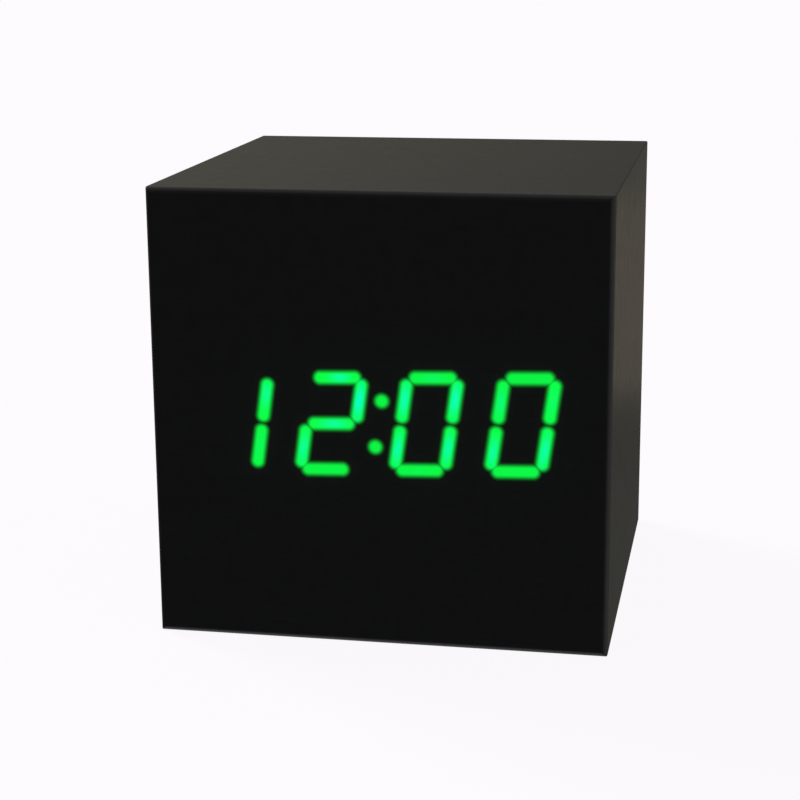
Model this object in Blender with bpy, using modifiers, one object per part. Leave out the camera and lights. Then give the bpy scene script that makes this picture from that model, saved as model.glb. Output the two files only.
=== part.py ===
"""A cube table clock: a folded MDF case wrapped in black wood-grain film, with a green LED display behind the
film of its front, and a recessed plastic back with three buttons, a power inlet and a hinged battery door.

Metres, +Z up. The origin is the centre of the base, the display faces -Y and +X is its right-hand side.
The case is built round what it holds: its width follows the battery tray, and its height the tray with the
control board above it.
"""

import math

import bmesh
import bpy
from mathutils import Matrix, Vector

# Fits
GLUE_LINE = 0.0001
WELD = 0.000001
SEAT_GAP = 0.0002
RUNNING_GAP = 0.0003
OVERRUN = 0.0005

# Case
CASE_DEPTH = 0.0620
FILM = 0.0004
WALL_BOARD = 0.0042
FRONT_BOARD = 0.0030
COVER_RECESS = 0.0010

# Battery cells, size AAA
CELL_COUNT = 3
CELL_LENGTH = 0.0445
CELL_RADIUS = 0.00525
CELL_NUB_RADIUS = 0.0019
CELL_NUB = 0.0010
CELL_EDGE = 0.0006

# Battery contacts
CONTACT = 0.0004
CONTACT_REACH = 0.0040
DIMPLE_RADIUS = 0.0017
DIMPLE = 0.0006
TAB_WIDTH = 0.0030
TAB_REACH = 0.0015
SPRING_ROOM = 0.0024
SPRING_WIRE = 0.0005
SPRING_TURNS = 2
SPRING_WIDE = 0.0038
SPRING_NARROW = 0.0022

# Battery tray
TRAY_WALL = 0.0012
TRAY_SIDE_GAP = 0.0008

# Rear cover and battery door
COVER = 0.0024
COVER_RIM = 0.0015
DOOR = 0.0016
DOOR_LEDGE = 0.0008
HINGE_INSET = 0.0011
PEG_RADIUS = 0.0006
PEG_LENGTH = 0.0008
PEG_GAP = 0.00015
TONGUE_WIDTH = 0.0100
TONGUE_REACH = 0.0010
TONGUE_CUT = 0.0060
TONGUE_SLOT = 0.0008
FINGER_RADIUS = 0.0030
FINGER_DEPTH = 0.0012
LUG_WIDTH = 0.0050
LUG_THICK = 0.0015
LUG_REACH = 0.0017
LUG_SPREAD = 0.0120

# Corner blocks and their screws
BLOCK = 0.0060
BLOCK_DEPTH = 0.0120
COVER_SCREW_RADIUS = 0.0010
COVER_SCREW_LENGTH = 0.0075
COVER_HEAD_RADIUS = 0.0019
COVER_HEAD = 0.0012

# Control board, above the tray
CONTROL_BOARD_HEIGHT = 0.0150
CONTROL_BOARD = 0.0016
CONTROL_STANDOFF = 0.0061
CONTROL_SIDE_GAP = 0.0007
CONTROL_BASE_GAP = 0.0005
CONTROL_TOP_GAP = 0.0007
UPPER_ROW = 0.0050
LOWER_ROW = 0.0026
BOSS_RADIUS = 0.0022
BOSS_INSET = 0.0026

# Buttons
BUTTON_NAMES = ("set", "up", "down")
BUTTON_PITCH = 0.0088
BUTTON_EDGE = 0.0051
BUTTON_RADIUS = 0.0025
BUTTON_FLANGE_RADIUS = 0.0032
BUTTON_FLANGE = 0.0009
BUTTON_PROUD = 0.0008
BUTTON_ROUND = 0.0003
SWITCH_SIDE = 0.0060
SWITCH_HEIGHT = 0.0035
PLUNGER_RADIUS = 0.0017
PLUNGER_BORE = 0.0012
PLUNGER_SUNK = 0.0005

# Power inlet
JACK_WIDTH = 0.0090
JACK_HEIGHT = 0.0066
JACK_EDGE = 0.0059
JACK_BORE_RADIUS = 0.0018
JACK_BORE = 0.0048
JACK_PIN_RADIUS = 0.00065
JACK_PIN_FREE = 0.0042
JACK_PIN_ROOT = 0.0007
JACK_PORT_RADIUS = 0.0026

# Buzzer, microphone and the cover's sound holes
BUZZER_RADIUS = 0.0045
BUZZER_HEIGHT = 0.0055
BUZZER_X = 0.0095
BUZZER_HOLE_RADIUS = 0.0008
BUZZER_HOLE = 0.0010
MICROPHONE_RADIUS = 0.0022
MICROPHONE_HEIGHT = 0.0022
MICROPHONE_X = -0.0085
SOUND_HOLE_RADIUS = 0.0007
SOUND_SLOTS = 4
SOUND_SLOT_PITCH = 0.0018
SOUND_SLOT_WIDTH = 0.0008
SOUND_SLOT_HEIGHT = 0.0036
SOUND_SLOT_X = 0.0088

# Small screws that hold the two circuit boards
SMALL_SCREW_RADIUS = 0.00085
SMALL_HEAD_RADIUS = 0.0017
SMALL_HEAD = 0.0011
CONTROL_SCREW_LENGTH = 0.0060
DISPLAY_SCREW_LENGTH = 0.0090
HEAD_CROWN_SHARE = 0.7
POINT_SHARE = 0.35
CROSS_WIDTH = 0.0005
CROSS_LENGTH_SHARE = 0.56
CROSS_DEPTH_SHARE = 0.6

# Display
DISPLAY_TEXT = "1200"
DIGIT_PITCH = 0.0127
BAR_SPREAD = 0.00675
BAR_RISE = 0.0063
BAR_RADIUS = 0.00065
BAR_END_GAP = 0.0004
DIGIT_SLANT = math.radians(10)
COLON_RISE = 0.00316
COLON_RADIUS = 0.00075
MODULE_HEIGHT = 0.0190
MODULE_DEPTH = 0.0080
MODULE_SIDE = 0.0002
MODULE_POCKET = 0.0015
MODULE_POCKET_WALL = 0.0010
DISPLAY_BOARD_SIDE = 0.0006
DISPLAY_BOARD_STRIP = 0.0055
DISPLAY_BOARD = 0.0016
DISPLAY_SCREW_INSET = 0.0025
SPACER_RADIUS = 0.0022
SPACER_GAP = 0.0008

# Chips and other parts on the back of the display board
CHIP_LENGTH = 0.0179
CHIP_WIDTH = 0.0075
CHIP_HEIGHT = 0.0023
CHIP_LEGS = 10
CHIP_X = -0.0080
DRIVER_LENGTH = 0.0100
DRIVER_WIDTH = 0.0039
DRIVER_HEIGHT = 0.0015
DRIVER_LEGS = 8
DRIVER_X = 0.0130
LEG_WIDTH = 0.0005
LEG_REACH = 0.0013
LEG_THICK = 0.0003
CRYSTAL_RADIUS = 0.0015
CRYSTAL_LENGTH = 0.0080
CRYSTAL_X = 0.0100
CRYSTAL_RISE = 0.0060
CAPACITOR_RADIUS = 0.0025
CAPACITOR_HEIGHT = 0.0070
CAPACITOR_X = -0.0100
CAPACITOR_RISE = 0.0055

# Cables
RIBBON_WIDTH = 0.0080
RIBBON_THICK = 0.0008
RIBBON_X = -0.0045
RIBBON_START = 0.0025
RIBBON_END = 0.0050
RIBBON_ARCH = 0.0030
RIBBON_STEPS = 14
WIRE_RADIUS = 0.00065
WIRE_RUN = 0.0022
WIRE_X = 0.0155
WIRE_POINT_STEP = 0.0025

# Smoothness of round shapes
SHARP_ANGLE = math.radians(35)
ROUND = 20
SMALL_ROUND = 12
BAR_END_STEPS = 4
CORNER_STEPS = 4

# Colour as linear red, green, blue, then roughness and metallic
FINISHES = {
    "film": ((0.012, 0.011, 0.010), 0.5, 0.0),
    "mdf": ((0.36, 0.25, 0.15), 0.9, 0.0),
    "black mdf": ((0.02, 0.02, 0.02), 0.8, 0.0),
    "pine": ((0.55, 0.38, 0.20), 0.8, 0.0),
    "black plastic": ((0.018, 0.018, 0.018), 0.45, 0.0),
    "grey plastic": ((0.10, 0.10, 0.105), 0.5, 0.0),
    "button": ((0.03, 0.03, 0.032), 0.4, 0.0),
    "circuit board": ((0.01, 0.09, 0.035), 0.5, 0.0),
    "chip": ((0.012, 0.012, 0.013), 0.4, 0.0),
    "steel": ((0.52, 0.52, 0.50), 0.35, 1.0),
    "nickel": ((0.66, 0.63, 0.56), 0.25, 1.0),
    "aluminium": ((0.70, 0.71, 0.72), 0.3, 1.0),
    "cell sleeve": ((0.035, 0.05, 0.09), 0.35, 0.0),
    "resin": ((0.55, 0.60, 0.52), 0.4, 0.0),
    "ribbon": ((0.32, 0.32, 0.33), 0.5, 0.0),
    "red wire": ((0.50, 0.015, 0.012), 0.45, 0.0),
    "black wire": ((0.012, 0.012, 0.012), 0.45, 0.0),
}
LIT_COLOUR = (0.0, 1.0, 0.06)
LIT_STRENGTH = 4.0
FILM_ALPHA = 0.35

# The seven bars of a digit: place across and up, as shares of spread and rise, and whether it is upright
BAR_SHARES = {
    "a": (0, 1, False),
    "b": (0.5, 0.5, True),
    "c": (0.5, -0.5, True),
    "d": (0, -1, False),
    "e": (-0.5, -0.5, True),
    "f": (-0.5, 0.5, True),
    "g": (0, 0, False),
}
BARS_OF_DIGIT = {"0": "abcdef", "1": "bc", "2": "abged"}

# Width of the case, from the tray outwards
TRAY_IN_X = (
    CELL_LENGTH + 2 * (CONTACT + GLUE_LINE) + DIMPLE + GLUE_LINE + SPRING_ROOM
) / 2
TRAY_OUT_X = TRAY_IN_X + TRAY_WALL
MODULE_HALF = 2 * DIGIT_PITCH - MODULE_SIDE - GLUE_LINE / 2
DISPLAY_BOARD_HALF = MODULE_HALF + DISPLAY_BOARD_SIDE
CAVITY_X = max(TRAY_OUT_X + TRAY_SIDE_GAP, DISPLAY_BOARD_HALF + RUNNING_GAP)
WALL_OUT_X = CAVITY_X + WALL_BOARD
CASE_X = WALL_OUT_X + GLUE_LINE + FILM

# Height of the case, from the base up
CAVITY_LOW = FILM + GLUE_LINE + WALL_BOARD
COVER_LOW = CAVITY_LOW + SEAT_GAP
DOOR_HOLE_LOW = COVER_LOW + COVER_RIM
HINGE_Z = DOOR_HOLE_LOW + SEAT_GAP + HINGE_INSET
TRAY_IN_LOW = DOOR_HOLE_LOW + DOOR_LEDGE
TRAY_OUT_LOW = TRAY_IN_LOW - TRAY_WALL
CELL_PITCH = 2 * CELL_RADIUS + RUNNING_GAP
CELL_LOW_Z = TRAY_IN_LOW + RUNNING_GAP + CELL_RADIUS
TRAY_IN_HIGH = TRAY_IN_LOW + RUNNING_GAP + CELL_COUNT * CELL_PITCH
TRAY_OUT_HIGH = TRAY_IN_HIGH + TRAY_WALL
CONTROL_LOW = TRAY_OUT_HIGH + CONTROL_BASE_GAP
CONTROL_HIGH = CONTROL_LOW + CONTROL_BOARD_HEIGHT
CAVITY_HIGH = CONTROL_HIGH + CONTROL_TOP_GAP
CASE_Z = CAVITY_HIGH + WALL_BOARD + GLUE_LINE + FILM
CASE_MID_Z = CASE_Z / 2
DISPLAY_Z = CASE_MID_Z
DISPLAY_BOARD_LOW = DISPLAY_Z - MODULE_HEIGHT / 2 - DISPLAY_BOARD_STRIP
DISPLAY_BOARD_HIGH = DISPLAY_Z + MODULE_HEIGHT / 2 + DISPLAY_BOARD_STRIP

# Depths, from the front
FRONT_Y = -CASE_DEPTH / 2
REAR_Y = CASE_DEPTH / 2
FRONT_BOARD_Y = FRONT_Y + FILM + GLUE_LINE
WALLS_Y = FRONT_BOARD_Y + FRONT_BOARD + GLUE_LINE
MODULE_Y = FRONT_BOARD_Y + GLUE_LINE
MODULE_BACK_Y = MODULE_Y + MODULE_DEPTH
DISPLAY_BOARD_Y = MODULE_BACK_Y + GLUE_LINE
DISPLAY_BACK_Y = DISPLAY_BOARD_Y + DISPLAY_BOARD

# Depths, from the rear
COVER_Y = REAR_Y - COVER_RECESS
COVER_IN_Y = COVER_Y - COVER
HINGE_Y = COVER_Y - HINGE_INSET
DOOR_IN_Y = COVER_Y - DOOR
LEDGE_Y = DOOR_IN_Y - RUNNING_GAP
CELL_Y = DOOR_IN_Y - RUNNING_GAP - GLUE_LINE - CELL_RADIUS
TRAY_FLOOR_Y = CELL_Y - CELL_RADIUS - RUNNING_GAP
TRAY_FRONT_Y = TRAY_FLOOR_Y - TRAY_WALL
TRAY_BACK_Y = COVER_IN_Y - GLUE_LINE
CONTROL_BACK_Y = COVER_IN_Y - CONTROL_STANDOFF - GLUE_LINE
CONTROL_FRONT_Y = CONTROL_BACK_Y - CONTROL_BOARD

# Places on the rear cover and the control board
CONTROL_X = CAVITY_X - GLUE_LINE - BLOCK - CONTROL_SIDE_GAP
UPPER_Z = CONTROL_HIGH - UPPER_ROW
LOWER_Z = CONTROL_LOW + LOWER_ROW
BOSS_X = CONTROL_X - BOSS_INSET
BLOCK_X = CAVITY_X - GLUE_LINE - BLOCK / 2
BLOCK_Z = CAVITY_HIGH - GLUE_LINE - BLOCK / 2
DOOR_HOLE_X = TRAY_IN_X + DOOR_LEDGE - SEAT_GAP
DOOR_HOLE_HIGH = TRAY_IN_HIGH + DOOR_LEDGE - SEAT_GAP
DOOR_X = DOOR_HOLE_X - SEAT_GAP
DOOR_HIGH = DOOR_HOLE_HIGH - SEAT_GAP
JACK_X = -CONTROL_X + JACK_EDGE
BUTTON_X = CONTROL_X - BUTTON_EDGE

parts = bpy.data.collections.new("cube_clock")
cutters = bpy.data.collections.new("cutters")


def clear_scene():
    for item in list(bpy.data.objects):
        bpy.data.objects.remove(item, do_unlink=True)
    for group in (parts, cutters):
        bpy.context.scene.collection.children.link(group)


# Helpers that make one solid each

def place(name, data, location, cutter=False):
    """Link new object data to the parts, or to the helpers that only cut or join."""
    made = bpy.data.objects.new(name, data)
    made.location = location
    (cutters if cutter else parts).objects.link(made)
    if cutter:
        made.hide_render = True
        made.display_type = "WIRE"
    return made


def box(name, low, high, cutter=False):
    """A block between two opposite corners, with its origin at its centre."""
    low, high = Vector(low), Vector(high)
    mesh = bpy.data.meshes.new(name)
    shape = bmesh.new()
    bmesh.ops.create_cube(shape, size=1)
    bmesh.ops.scale(shape, vec=high - low, verts=shape.verts)
    shape.to_mesh(mesh)
    shape.free()
    return place(name, mesh, (low + high) / 2, cutter)


def rod(name, radius, start, end, sides=ROUND, cutter=False):
    """A cylinder from one point to another, with its origin halfway."""
    start, end = Vector(start), Vector(end)
    span = end - start
    mesh = bpy.data.meshes.new(name)
    shape = bmesh.new()
    bmesh.ops.create_cone(shape, cap_ends=True, segments=sides, radius1=radius, radius2=radius,
                          depth=span.length)
    shape.to_mesh(mesh)
    shape.free()
    smooth(mesh)
    made = place(name, mesh, (start + end) / 2, cutter)
    made.rotation_euler = span.to_track_quat("Z", "Y").to_euler()
    return made


def block(name, x, width, low_y, high_y, low_z, high_z, cutter=False):
    """A box by the middle and size of its width and the limits of its depth and height."""
    return box(name, (x - width / 2, low_y, low_z), (x + width / 2, high_y, high_z), cutter)


def turned(name, profile, location, direction, sides=ROUND):
    """A shape turned about its own Z axis from (radius, height) points, top to bottom, then aimed."""
    mesh = bpy.data.meshes.new(name)
    mesh.from_pydata([(radius, 0, height) for radius, height in profile],
                     [(i, i + 1) for i in range(len(profile) - 1)], [])
    made = place(name, mesh, location)
    made.rotation_euler = Vector(direction).to_track_quat("Z", "Y").to_euler()
    screw = made.modifiers.new("turn", "SCREW")
    screw.steps = sides
    screw.render_steps = sides
    screw.use_merge_vertices = True
    screw.merge_threshold = WELD
    return made


def slab(name, outlines, thickness, origin, along="Y", cutter=False):
    """Flat outlines given the thickness of a plate, and centred on the origin along Y or X.

    An outline's points are (x, z) from the origin where the plate faces Y, and (y, z) where it faces X.
    """
    curve = bpy.data.curves.new(name, "CURVE")
    curve.dimensions = "2D"
    curve.fill_mode = "BOTH"
    curve.extrude = thickness / 2
    for outline in outlines:
        spline = curve.splines.new("POLY")
        spline.points.add(len(outline) - 1)
        for point, (across, up) in zip(spline.points, outline):
            point.co = (across, up, 0, 1)
        spline.use_cyclic_u = True
    made = place(name, curve, origin, cutter)
    facing_y = Matrix(((1, 0, 0), (0, 0, -1), (0, 1, 0)))
    facing_x = Matrix(((0, 0, 1), (1, 0, 0), (0, 1, 0)))
    made.rotation_euler = (facing_y if along == "Y" else facing_x).to_euler()
    return made


def meshed(item):
    """The same object as a closed mesh with its curve and modifiers applied, for cuts and joins."""
    bpy.context.view_layer.update()
    graph = bpy.context.evaluated_depsgraph_get()
    mesh = bpy.data.meshes.new_from_object(item.evaluated_get(graph))
    shape = bmesh.new()
    shape.from_mesh(mesh)
    bmesh.ops.remove_doubles(shape, verts=shape.verts, dist=WELD)
    shape.to_mesh(mesh)
    shape.free()
    smooth(mesh)
    name = item.name
    group = item.users_collection[0]
    made = bpy.data.objects.new(name, mesh)
    made.matrix_world = item.matrix_world
    made.hide_render = item.hide_render
    made.display_type = item.display_type
    bpy.data.objects.remove(item, do_unlink=True)
    group.objects.link(made)
    made.name = name
    mesh.name = name
    return made


def boolean(target, other, operation):
    step = target.modifiers.new(other.name, "BOOLEAN")
    step.operation = operation
    step.solver = "EXACT"
    step.object = other


def cut(target, *others):
    for other in others:
        boolean(target, other, "DIFFERENCE")


def drill(target, name, radius, x, z, low_y, high_y, sides=SMALL_ROUND):
    """Cut a round hole along Y."""
    cut(target, rod(name, radius, (x, low_y, z), (x, high_y, z), sides, True))


def join(target, *others):
    for other in others:
        boolean(target, other, "UNION")


def smooth(mesh):
    mesh.shade_smooth()
    mesh.set_sharp_from_angle(angle=SHARP_ANGLE)


def finish(item, kind, alpha=1.0):
    """Give an object its own material of one of the finishes."""
    colour, roughness, metallic = FINISHES[kind]
    made = bpy.data.materials.new(item.name)
    made.use_nodes = True
    surface = made.node_tree.nodes["Principled BSDF"]
    surface.inputs["Base Color"].default_value = (*colour, 1)
    surface.inputs["Roughness"].default_value = roughness
    surface.inputs["Metallic"].default_value = metallic
    surface.inputs["Alpha"].default_value = alpha
    made.diffuse_color = (*colour, alpha)
    item.data.materials.clear()
    item.data.materials.append(made)
    return item


def rounded_rectangle(half_x, low_z, high_z, radius):
    points = []
    for corner, (x, z) in enumerate(((half_x, high_z), (-half_x, high_z), (-half_x, low_z), (half_x, low_z))):
        centre_x = x - math.copysign(radius, x)
        centre_z = z - radius if z == high_z else z + radius
        for step in range(CORNER_STEPS + 1):
            angle = math.pi / 2 * (corner + step / CORNER_STEPS)
            points.append((centre_x + radius * math.cos(angle), centre_z + radius * math.sin(angle)))
    return points


# The wrapped case

def case_films():
    lift = FILM + GLUE_LINE
    skin_y = FRONT_BOARD_Y
    outline = [
        (-CASE_X, lift), (-CASE_X, CASE_Z), (CASE_X, CASE_Z), (CASE_X, lift),
        (CASE_X - FILM, lift), (CASE_X - FILM, CASE_Z - FILM),
        (FILM - CASE_X, CASE_Z - FILM), (FILM - CASE_X, lift),
    ]
    wrap = slab("wrap_film", [outline], REAR_Y - skin_y, (0, (REAR_Y + skin_y) / 2, 0))
    base = box("base_film", (-CASE_X, skin_y, 0), (CASE_X, REAR_Y, FILM))
    front = box("front_film", (-CASE_X, FRONT_Y, 0), (CASE_X, FRONT_Y + FILM, CASE_Z))
    finish(meshed(wrap), "film")
    finish(base, "film")
    finish(front, "film", FILM_ALPHA)


def wall_board(name, quarter_turns):
    """One of the four mitred boards, turned about the case's middle from the place of the top board."""
    half_z = CASE_MID_Z - FILM - GLUE_LINE
    reach, spread = (half_z, WALL_OUT_X) if quarter_turns % 2 == 0 else (WALL_OUT_X, half_z)
    outer = spread - GLUE_LINE
    inner = outer - WALL_BOARD
    outline = [(-outer, reach), (outer, reach), (inner, reach - WALL_BOARD), (-inner, reach - WALL_BOARD)]
    turn = Matrix.Rotation(math.pi / 2 * quarter_turns, 2)
    outline = [turn @ Vector(point) for point in outline]
    board = slab(name, [outline], REAR_Y - WALLS_Y, (0, (REAR_Y + WALLS_Y) / 2, CASE_MID_Z))
    return finish(meshed(board), "mdf")


def case_boards():
    wall_board("top_board", 0)
    wall_board("left_board", 1)
    bottom = wall_board("bottom_board", 2)
    wall_board("right_board", 3)
    lug_y = COVER_Y - COVER / 2
    half_y = LUG_THICK / 2 + RUNNING_GAP
    width = LUG_WIDTH + 2 * RUNNING_GAP
    for side in (-1, 1):
        cut(bottom, block(f"lug_pocket_{side}", side * LUG_SPREAD, width, lug_y - half_y, lug_y + half_y,
                          COVER_LOW - LUG_REACH - RUNNING_GAP, CAVITY_LOW + OVERRUN, True))


def front_board():
    edge = FILM + GLUE_LINE
    board = block("front_board", 0, 2 * WALL_OUT_X, FRONT_BOARD_Y, FRONT_BOARD_Y + FRONT_BOARD,
                  edge, CASE_Z - edge)
    half_window = MODULE_HEIGHT / 2 + RUNNING_GAP
    cut(board, block("display_window", 0, 2 * (MODULE_HALF + RUNNING_GAP), FRONT_BOARD_Y - OVERRUN,
                     WALLS_Y + OVERRUN, DISPLAY_Z - half_window, DISPLAY_Z + half_window, True))
    for number, (x, z) in enumerate(display_screw_places()):
        drill(board, f"display_pilot_{number}", SMALL_SCREW_RADIUS + GLUE_LINE, x, z,
              display_screw_tip_y() - RUNNING_GAP, WALLS_Y + OVERRUN)
    finish(board, "black mdf")


def corner_blocks():
    back_y = COVER_IN_Y - GLUE_LINE
    for side, name in ((-1, "left"), (1, "right")):
        corner = block(f"corner_block_{name}", side * BLOCK_X, BLOCK, back_y - BLOCK_DEPTH, back_y,
                       BLOCK_Z - BLOCK / 2, BLOCK_Z + BLOCK / 2)
        drill(corner, f"block_pilot_{name}", COVER_SCREW_RADIUS + GLUE_LINE, side * BLOCK_X, BLOCK_Z,
              cover_head_y() - COVER_SCREW_LENGTH - RUNNING_GAP, COVER_IN_Y + OVERRUN)
        finish(corner, "pine")


# The back: cover, battery door, tray, cells and contacts

def cover_head_y():
    """The face of the cover's counterbores, which the screw heads rest on."""
    return COVER_Y - COVER_HEAD - RUNNING_GAP


def rear_cover():
    half_x = CAVITY_X - SEAT_GAP
    mid_y = COVER_Y - COVER / 2
    outline = rounded_rectangle(half_x, COVER_LOW, CAVITY_HIGH - SEAT_GAP, GLUE_LINE + SEAT_GAP)
    cover = meshed(slab("rear_cover", [outline], COVER, (0, mid_y, 0)))
    for side in (-1, 1):
        join(cover,
             block(f"lug_{side}", side * LUG_SPREAD, LUG_WIDTH, mid_y - LUG_THICK / 2, mid_y + LUG_THICK / 2,
                   COVER_LOW - LUG_REACH, COVER_LOW + OVERRUN, True),
             rod(f"boss_{side}", BOSS_RADIUS, (side * BOSS_X, CONTROL_BACK_Y + GLUE_LINE, LOWER_Z),
                 (side * BOSS_X, COVER_IN_Y + OVERRUN, LOWER_Z), cutter=True))
    through = (COVER_IN_Y - OVERRUN, COVER_Y + OVERRUN)
    cut_door_opening(cover, through)
    drill(cover, "jack_port", JACK_PORT_RADIUS, JACK_X, UPPER_Z, *through, ROUND)
    drill(cover, "sound_hole", SOUND_HOLE_RADIUS, MICROPHONE_X, LOWER_Z, *through)
    for name, x in zip(BUTTON_NAMES, button_places()):
        drill(cover, f"{name}_hole", BUTTON_RADIUS + RUNNING_GAP, x, UPPER_Z, *through, ROUND)
    for slot in range(SOUND_SLOTS):
        x = SOUND_SLOT_X + (slot - (SOUND_SLOTS - 1) / 2) * SOUND_SLOT_PITCH
        cut(cover, block(f"sound_slot_{slot}", x, SOUND_SLOT_WIDTH, *through,
                         LOWER_Z - SOUND_SLOT_HEIGHT / 2, LOWER_Z + SOUND_SLOT_HEIGHT / 2, True))
    for side in (-1, 1):
        drill(cover, f"screw_hole_{side}", COVER_SCREW_RADIUS + SEAT_GAP, side * BLOCK_X, BLOCK_Z, *through)
        drill(cover, f"counterbore_{side}", COVER_HEAD_RADIUS + RUNNING_GAP, side * BLOCK_X, BLOCK_Z,
              cover_head_y() - GLUE_LINE, COVER_Y + OVERRUN, ROUND)
        drill(cover, f"boss_pilot_{side}", SMALL_SCREW_RADIUS + GLUE_LINE, side * BOSS_X, LOWER_Z,
              CONTROL_BACK_Y - OVERRUN, control_screw_tip_y() + RUNNING_GAP)
    finish(cover, "black plastic")


def cut_door_opening(cover, through):
    """The opening with its ledge, a strip without ledge for the hinge, the tongue's notch and the sockets."""
    out_y = through[1]
    full = 2 * DOOR_HOLE_X
    inner_high = DOOR_HOLE_HIGH - DOOR_LEDGE
    tongue_high = DOOR_HIGH + TONGUE_REACH
    cut(cover,
        block("door_hole", 0, full - 2 * DOOR_LEDGE, *through, DOOR_HOLE_LOW, inner_high, True),
        block("door_seat", 0, full, LEDGE_Y, out_y, DOOR_HOLE_LOW, DOOR_HOLE_HIGH, True),
        block("hinge_relief", 0, full, *through, DOOR_HOLE_LOW, HINGE_Z + HINGE_INSET + SEAT_GAP, True),
        block("tongue_notch", 0, TONGUE_WIDTH + 2 * SEAT_GAP, LEDGE_Y, out_y, DOOR_HOLE_HIGH - OVERRUN,
              tongue_high + SEAT_GAP, True),
        rod("hinge_sockets", PEG_RADIUS + PEG_GAP, (-CAVITY_X, HINGE_Y, HINGE_Z),
            (CAVITY_X, HINGE_Y, HINGE_Z), SMALL_ROUND, True))
    drill(cover, "finger_recess", FINGER_RADIUS, 0, tongue_high, COVER_Y - FINGER_DEPTH, out_y, ROUND)


def battery_door():
    """The door with its origin on the hinge axis; its lower edge is a barrel round that axis."""
    high = DOOR_HIGH - HINGE_Z
    inner = HINGE_INSET - DOOR
    outline = [(HINGE_INSET, high), (inner, high), (inner, HINGE_INSET)]
    outline += [(-HINGE_INSET * math.cos(angle), -HINGE_INSET * math.sin(angle))
                for angle in (math.pi * step / (2 * CORNER_STEPS) for step in range(2 * CORNER_STEPS + 1))]
    door = meshed(slab("battery_door", [outline], 2 * DOOR_X, (0, HINGE_Y, HINGE_Z), "X"))
    join(door,
         rod("door_pegs", PEG_RADIUS, (-DOOR_X - PEG_LENGTH, HINGE_Y, HINGE_Z),
             (DOOR_X + PEG_LENGTH, HINGE_Y, HINGE_Z), SMALL_ROUND, True),
         block("door_tongue", 0, TONGUE_WIDTH, DOOR_IN_Y, COVER_Y - SEAT_GAP, DOOR_HIGH - OVERRUN,
               DOOR_HIGH + TONGUE_REACH, True))
    slot = (TONGUE_SLOT, DOOR_IN_Y - OVERRUN, COVER_Y + OVERRUN, DOOR_HIGH - TONGUE_CUT, DOOR_HIGH + OVERRUN)
    for side in (-1, 1):
        cut(door, block(f"tongue_slot_{side}", side * (TONGUE_WIDTH + TONGUE_SLOT) / 2, *slot, True))
    finish(door, "black plastic")


def cell_rows():
    """Height of each cell's axis and the side that its positive end points to, from the lowest up."""
    return [(CELL_LOW_Z + row * CELL_PITCH, -1 if row % 2 else 1) for row in range(CELL_COUNT)]


def terminals():
    """The two ends of the row of cells: name, side of the tray and height."""
    (low_z, low_side), (high_z, high_side) = cell_rows()[0], cell_rows()[-1]
    return [("negative", -low_side, low_z), ("positive", high_side, high_z)]


def battery_tray():
    tray = block("battery_tray", 0, 2 * TRAY_OUT_X, TRAY_FRONT_Y, TRAY_BACK_Y, TRAY_OUT_LOW, TRAY_OUT_HIGH)
    cut(tray, block("tray_hollow", 0, 2 * TRAY_IN_X, TRAY_FLOOR_Y, TRAY_BACK_Y + OVERRUN,
                    TRAY_IN_LOW, TRAY_IN_HIGH, True))
    half_slot = TAB_WIDTH / 2 + SEAT_GAP
    slot_x = TRAY_IN_X - GLUE_LINE - CONTACT / 2
    for name, side, z in terminals():
        cut(tray, block(f"tab_slot_{name}", side * slot_x, CONTACT + 2 * SEAT_GAP, TRAY_FRONT_Y - OVERRUN,
                        TRAY_FLOOR_Y + OVERRUN, z - half_slot, z + half_slot, True))
    finish(tray, "black plastic")


def cells():
    bottom = -CELL_LENGTH / 2
    top = CELL_LENGTH / 2
    shoulder = top - CELL_NUB
    profile = [
        (0, top), (CELL_NUB_RADIUS, top), (CELL_NUB_RADIUS, shoulder),
        (CELL_RADIUS - CELL_EDGE, shoulder), (CELL_RADIUS, shoulder - CELL_EDGE),
        (CELL_RADIUS, bottom + CELL_EDGE), (CELL_RADIUS - CELL_EDGE, bottom), (0, bottom),
    ]
    for number, (z, side) in enumerate(cell_rows(), 1):
        tip = TRAY_IN_X - 2 * GLUE_LINE - CONTACT - DIMPLE
        cell = turned(f"cell_{number}", profile, (side * (tip - CELL_LENGTH / 2), CELL_Y, z), (side, 0, 0))
        finish(meshed(cell), "cell sleeve")


def contact(name, side, rows, tab_z=None):
    """A sheet contact against an end wall of the tray, with a dimple where a positive end meets it."""
    heights = [z for z, _ in rows]
    middle = side * (TRAY_IN_X - GLUE_LINE - CONTACT / 2)
    dimple = side * (TRAY_IN_X - GLUE_LINE - CONTACT - DIMPLE)
    front_y = CELL_Y - CONTACT_REACH
    plate = block(name, middle, CONTACT, front_y, CELL_Y + CONTACT_REACH,
                  min(heights) - CONTACT_REACH, max(heights) + CONTACT_REACH)
    for z, positive_side in rows:
        if positive_side == side:
            join(plate, rod(f"{name}_dimple", DIMPLE_RADIUS, (middle, CELL_Y, z), (dimple, CELL_Y, z),
                            SMALL_ROUND, True))
    if tab_z is not None:
        join(plate, block(f"{name}_tab", middle, CONTACT, TRAY_FRONT_Y - TAB_REACH, front_y + OVERRUN,
                          tab_z - TAB_WIDTH / 2, tab_z + TAB_WIDTH / 2, True))
    finish(plate, "nickel")


def contacts():
    rows = cell_rows()
    for (name, side, z), row in zip(terminals(), (rows[0], rows[-1])):
        contact(f"terminal_{name}", side, [row], z)
    for lower in range(CELL_COUNT - 1):
        side = rows[lower][1]
        contact("bridge_right" if side > 0 else "bridge_left", side, rows[lower:lower + 2])


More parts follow.
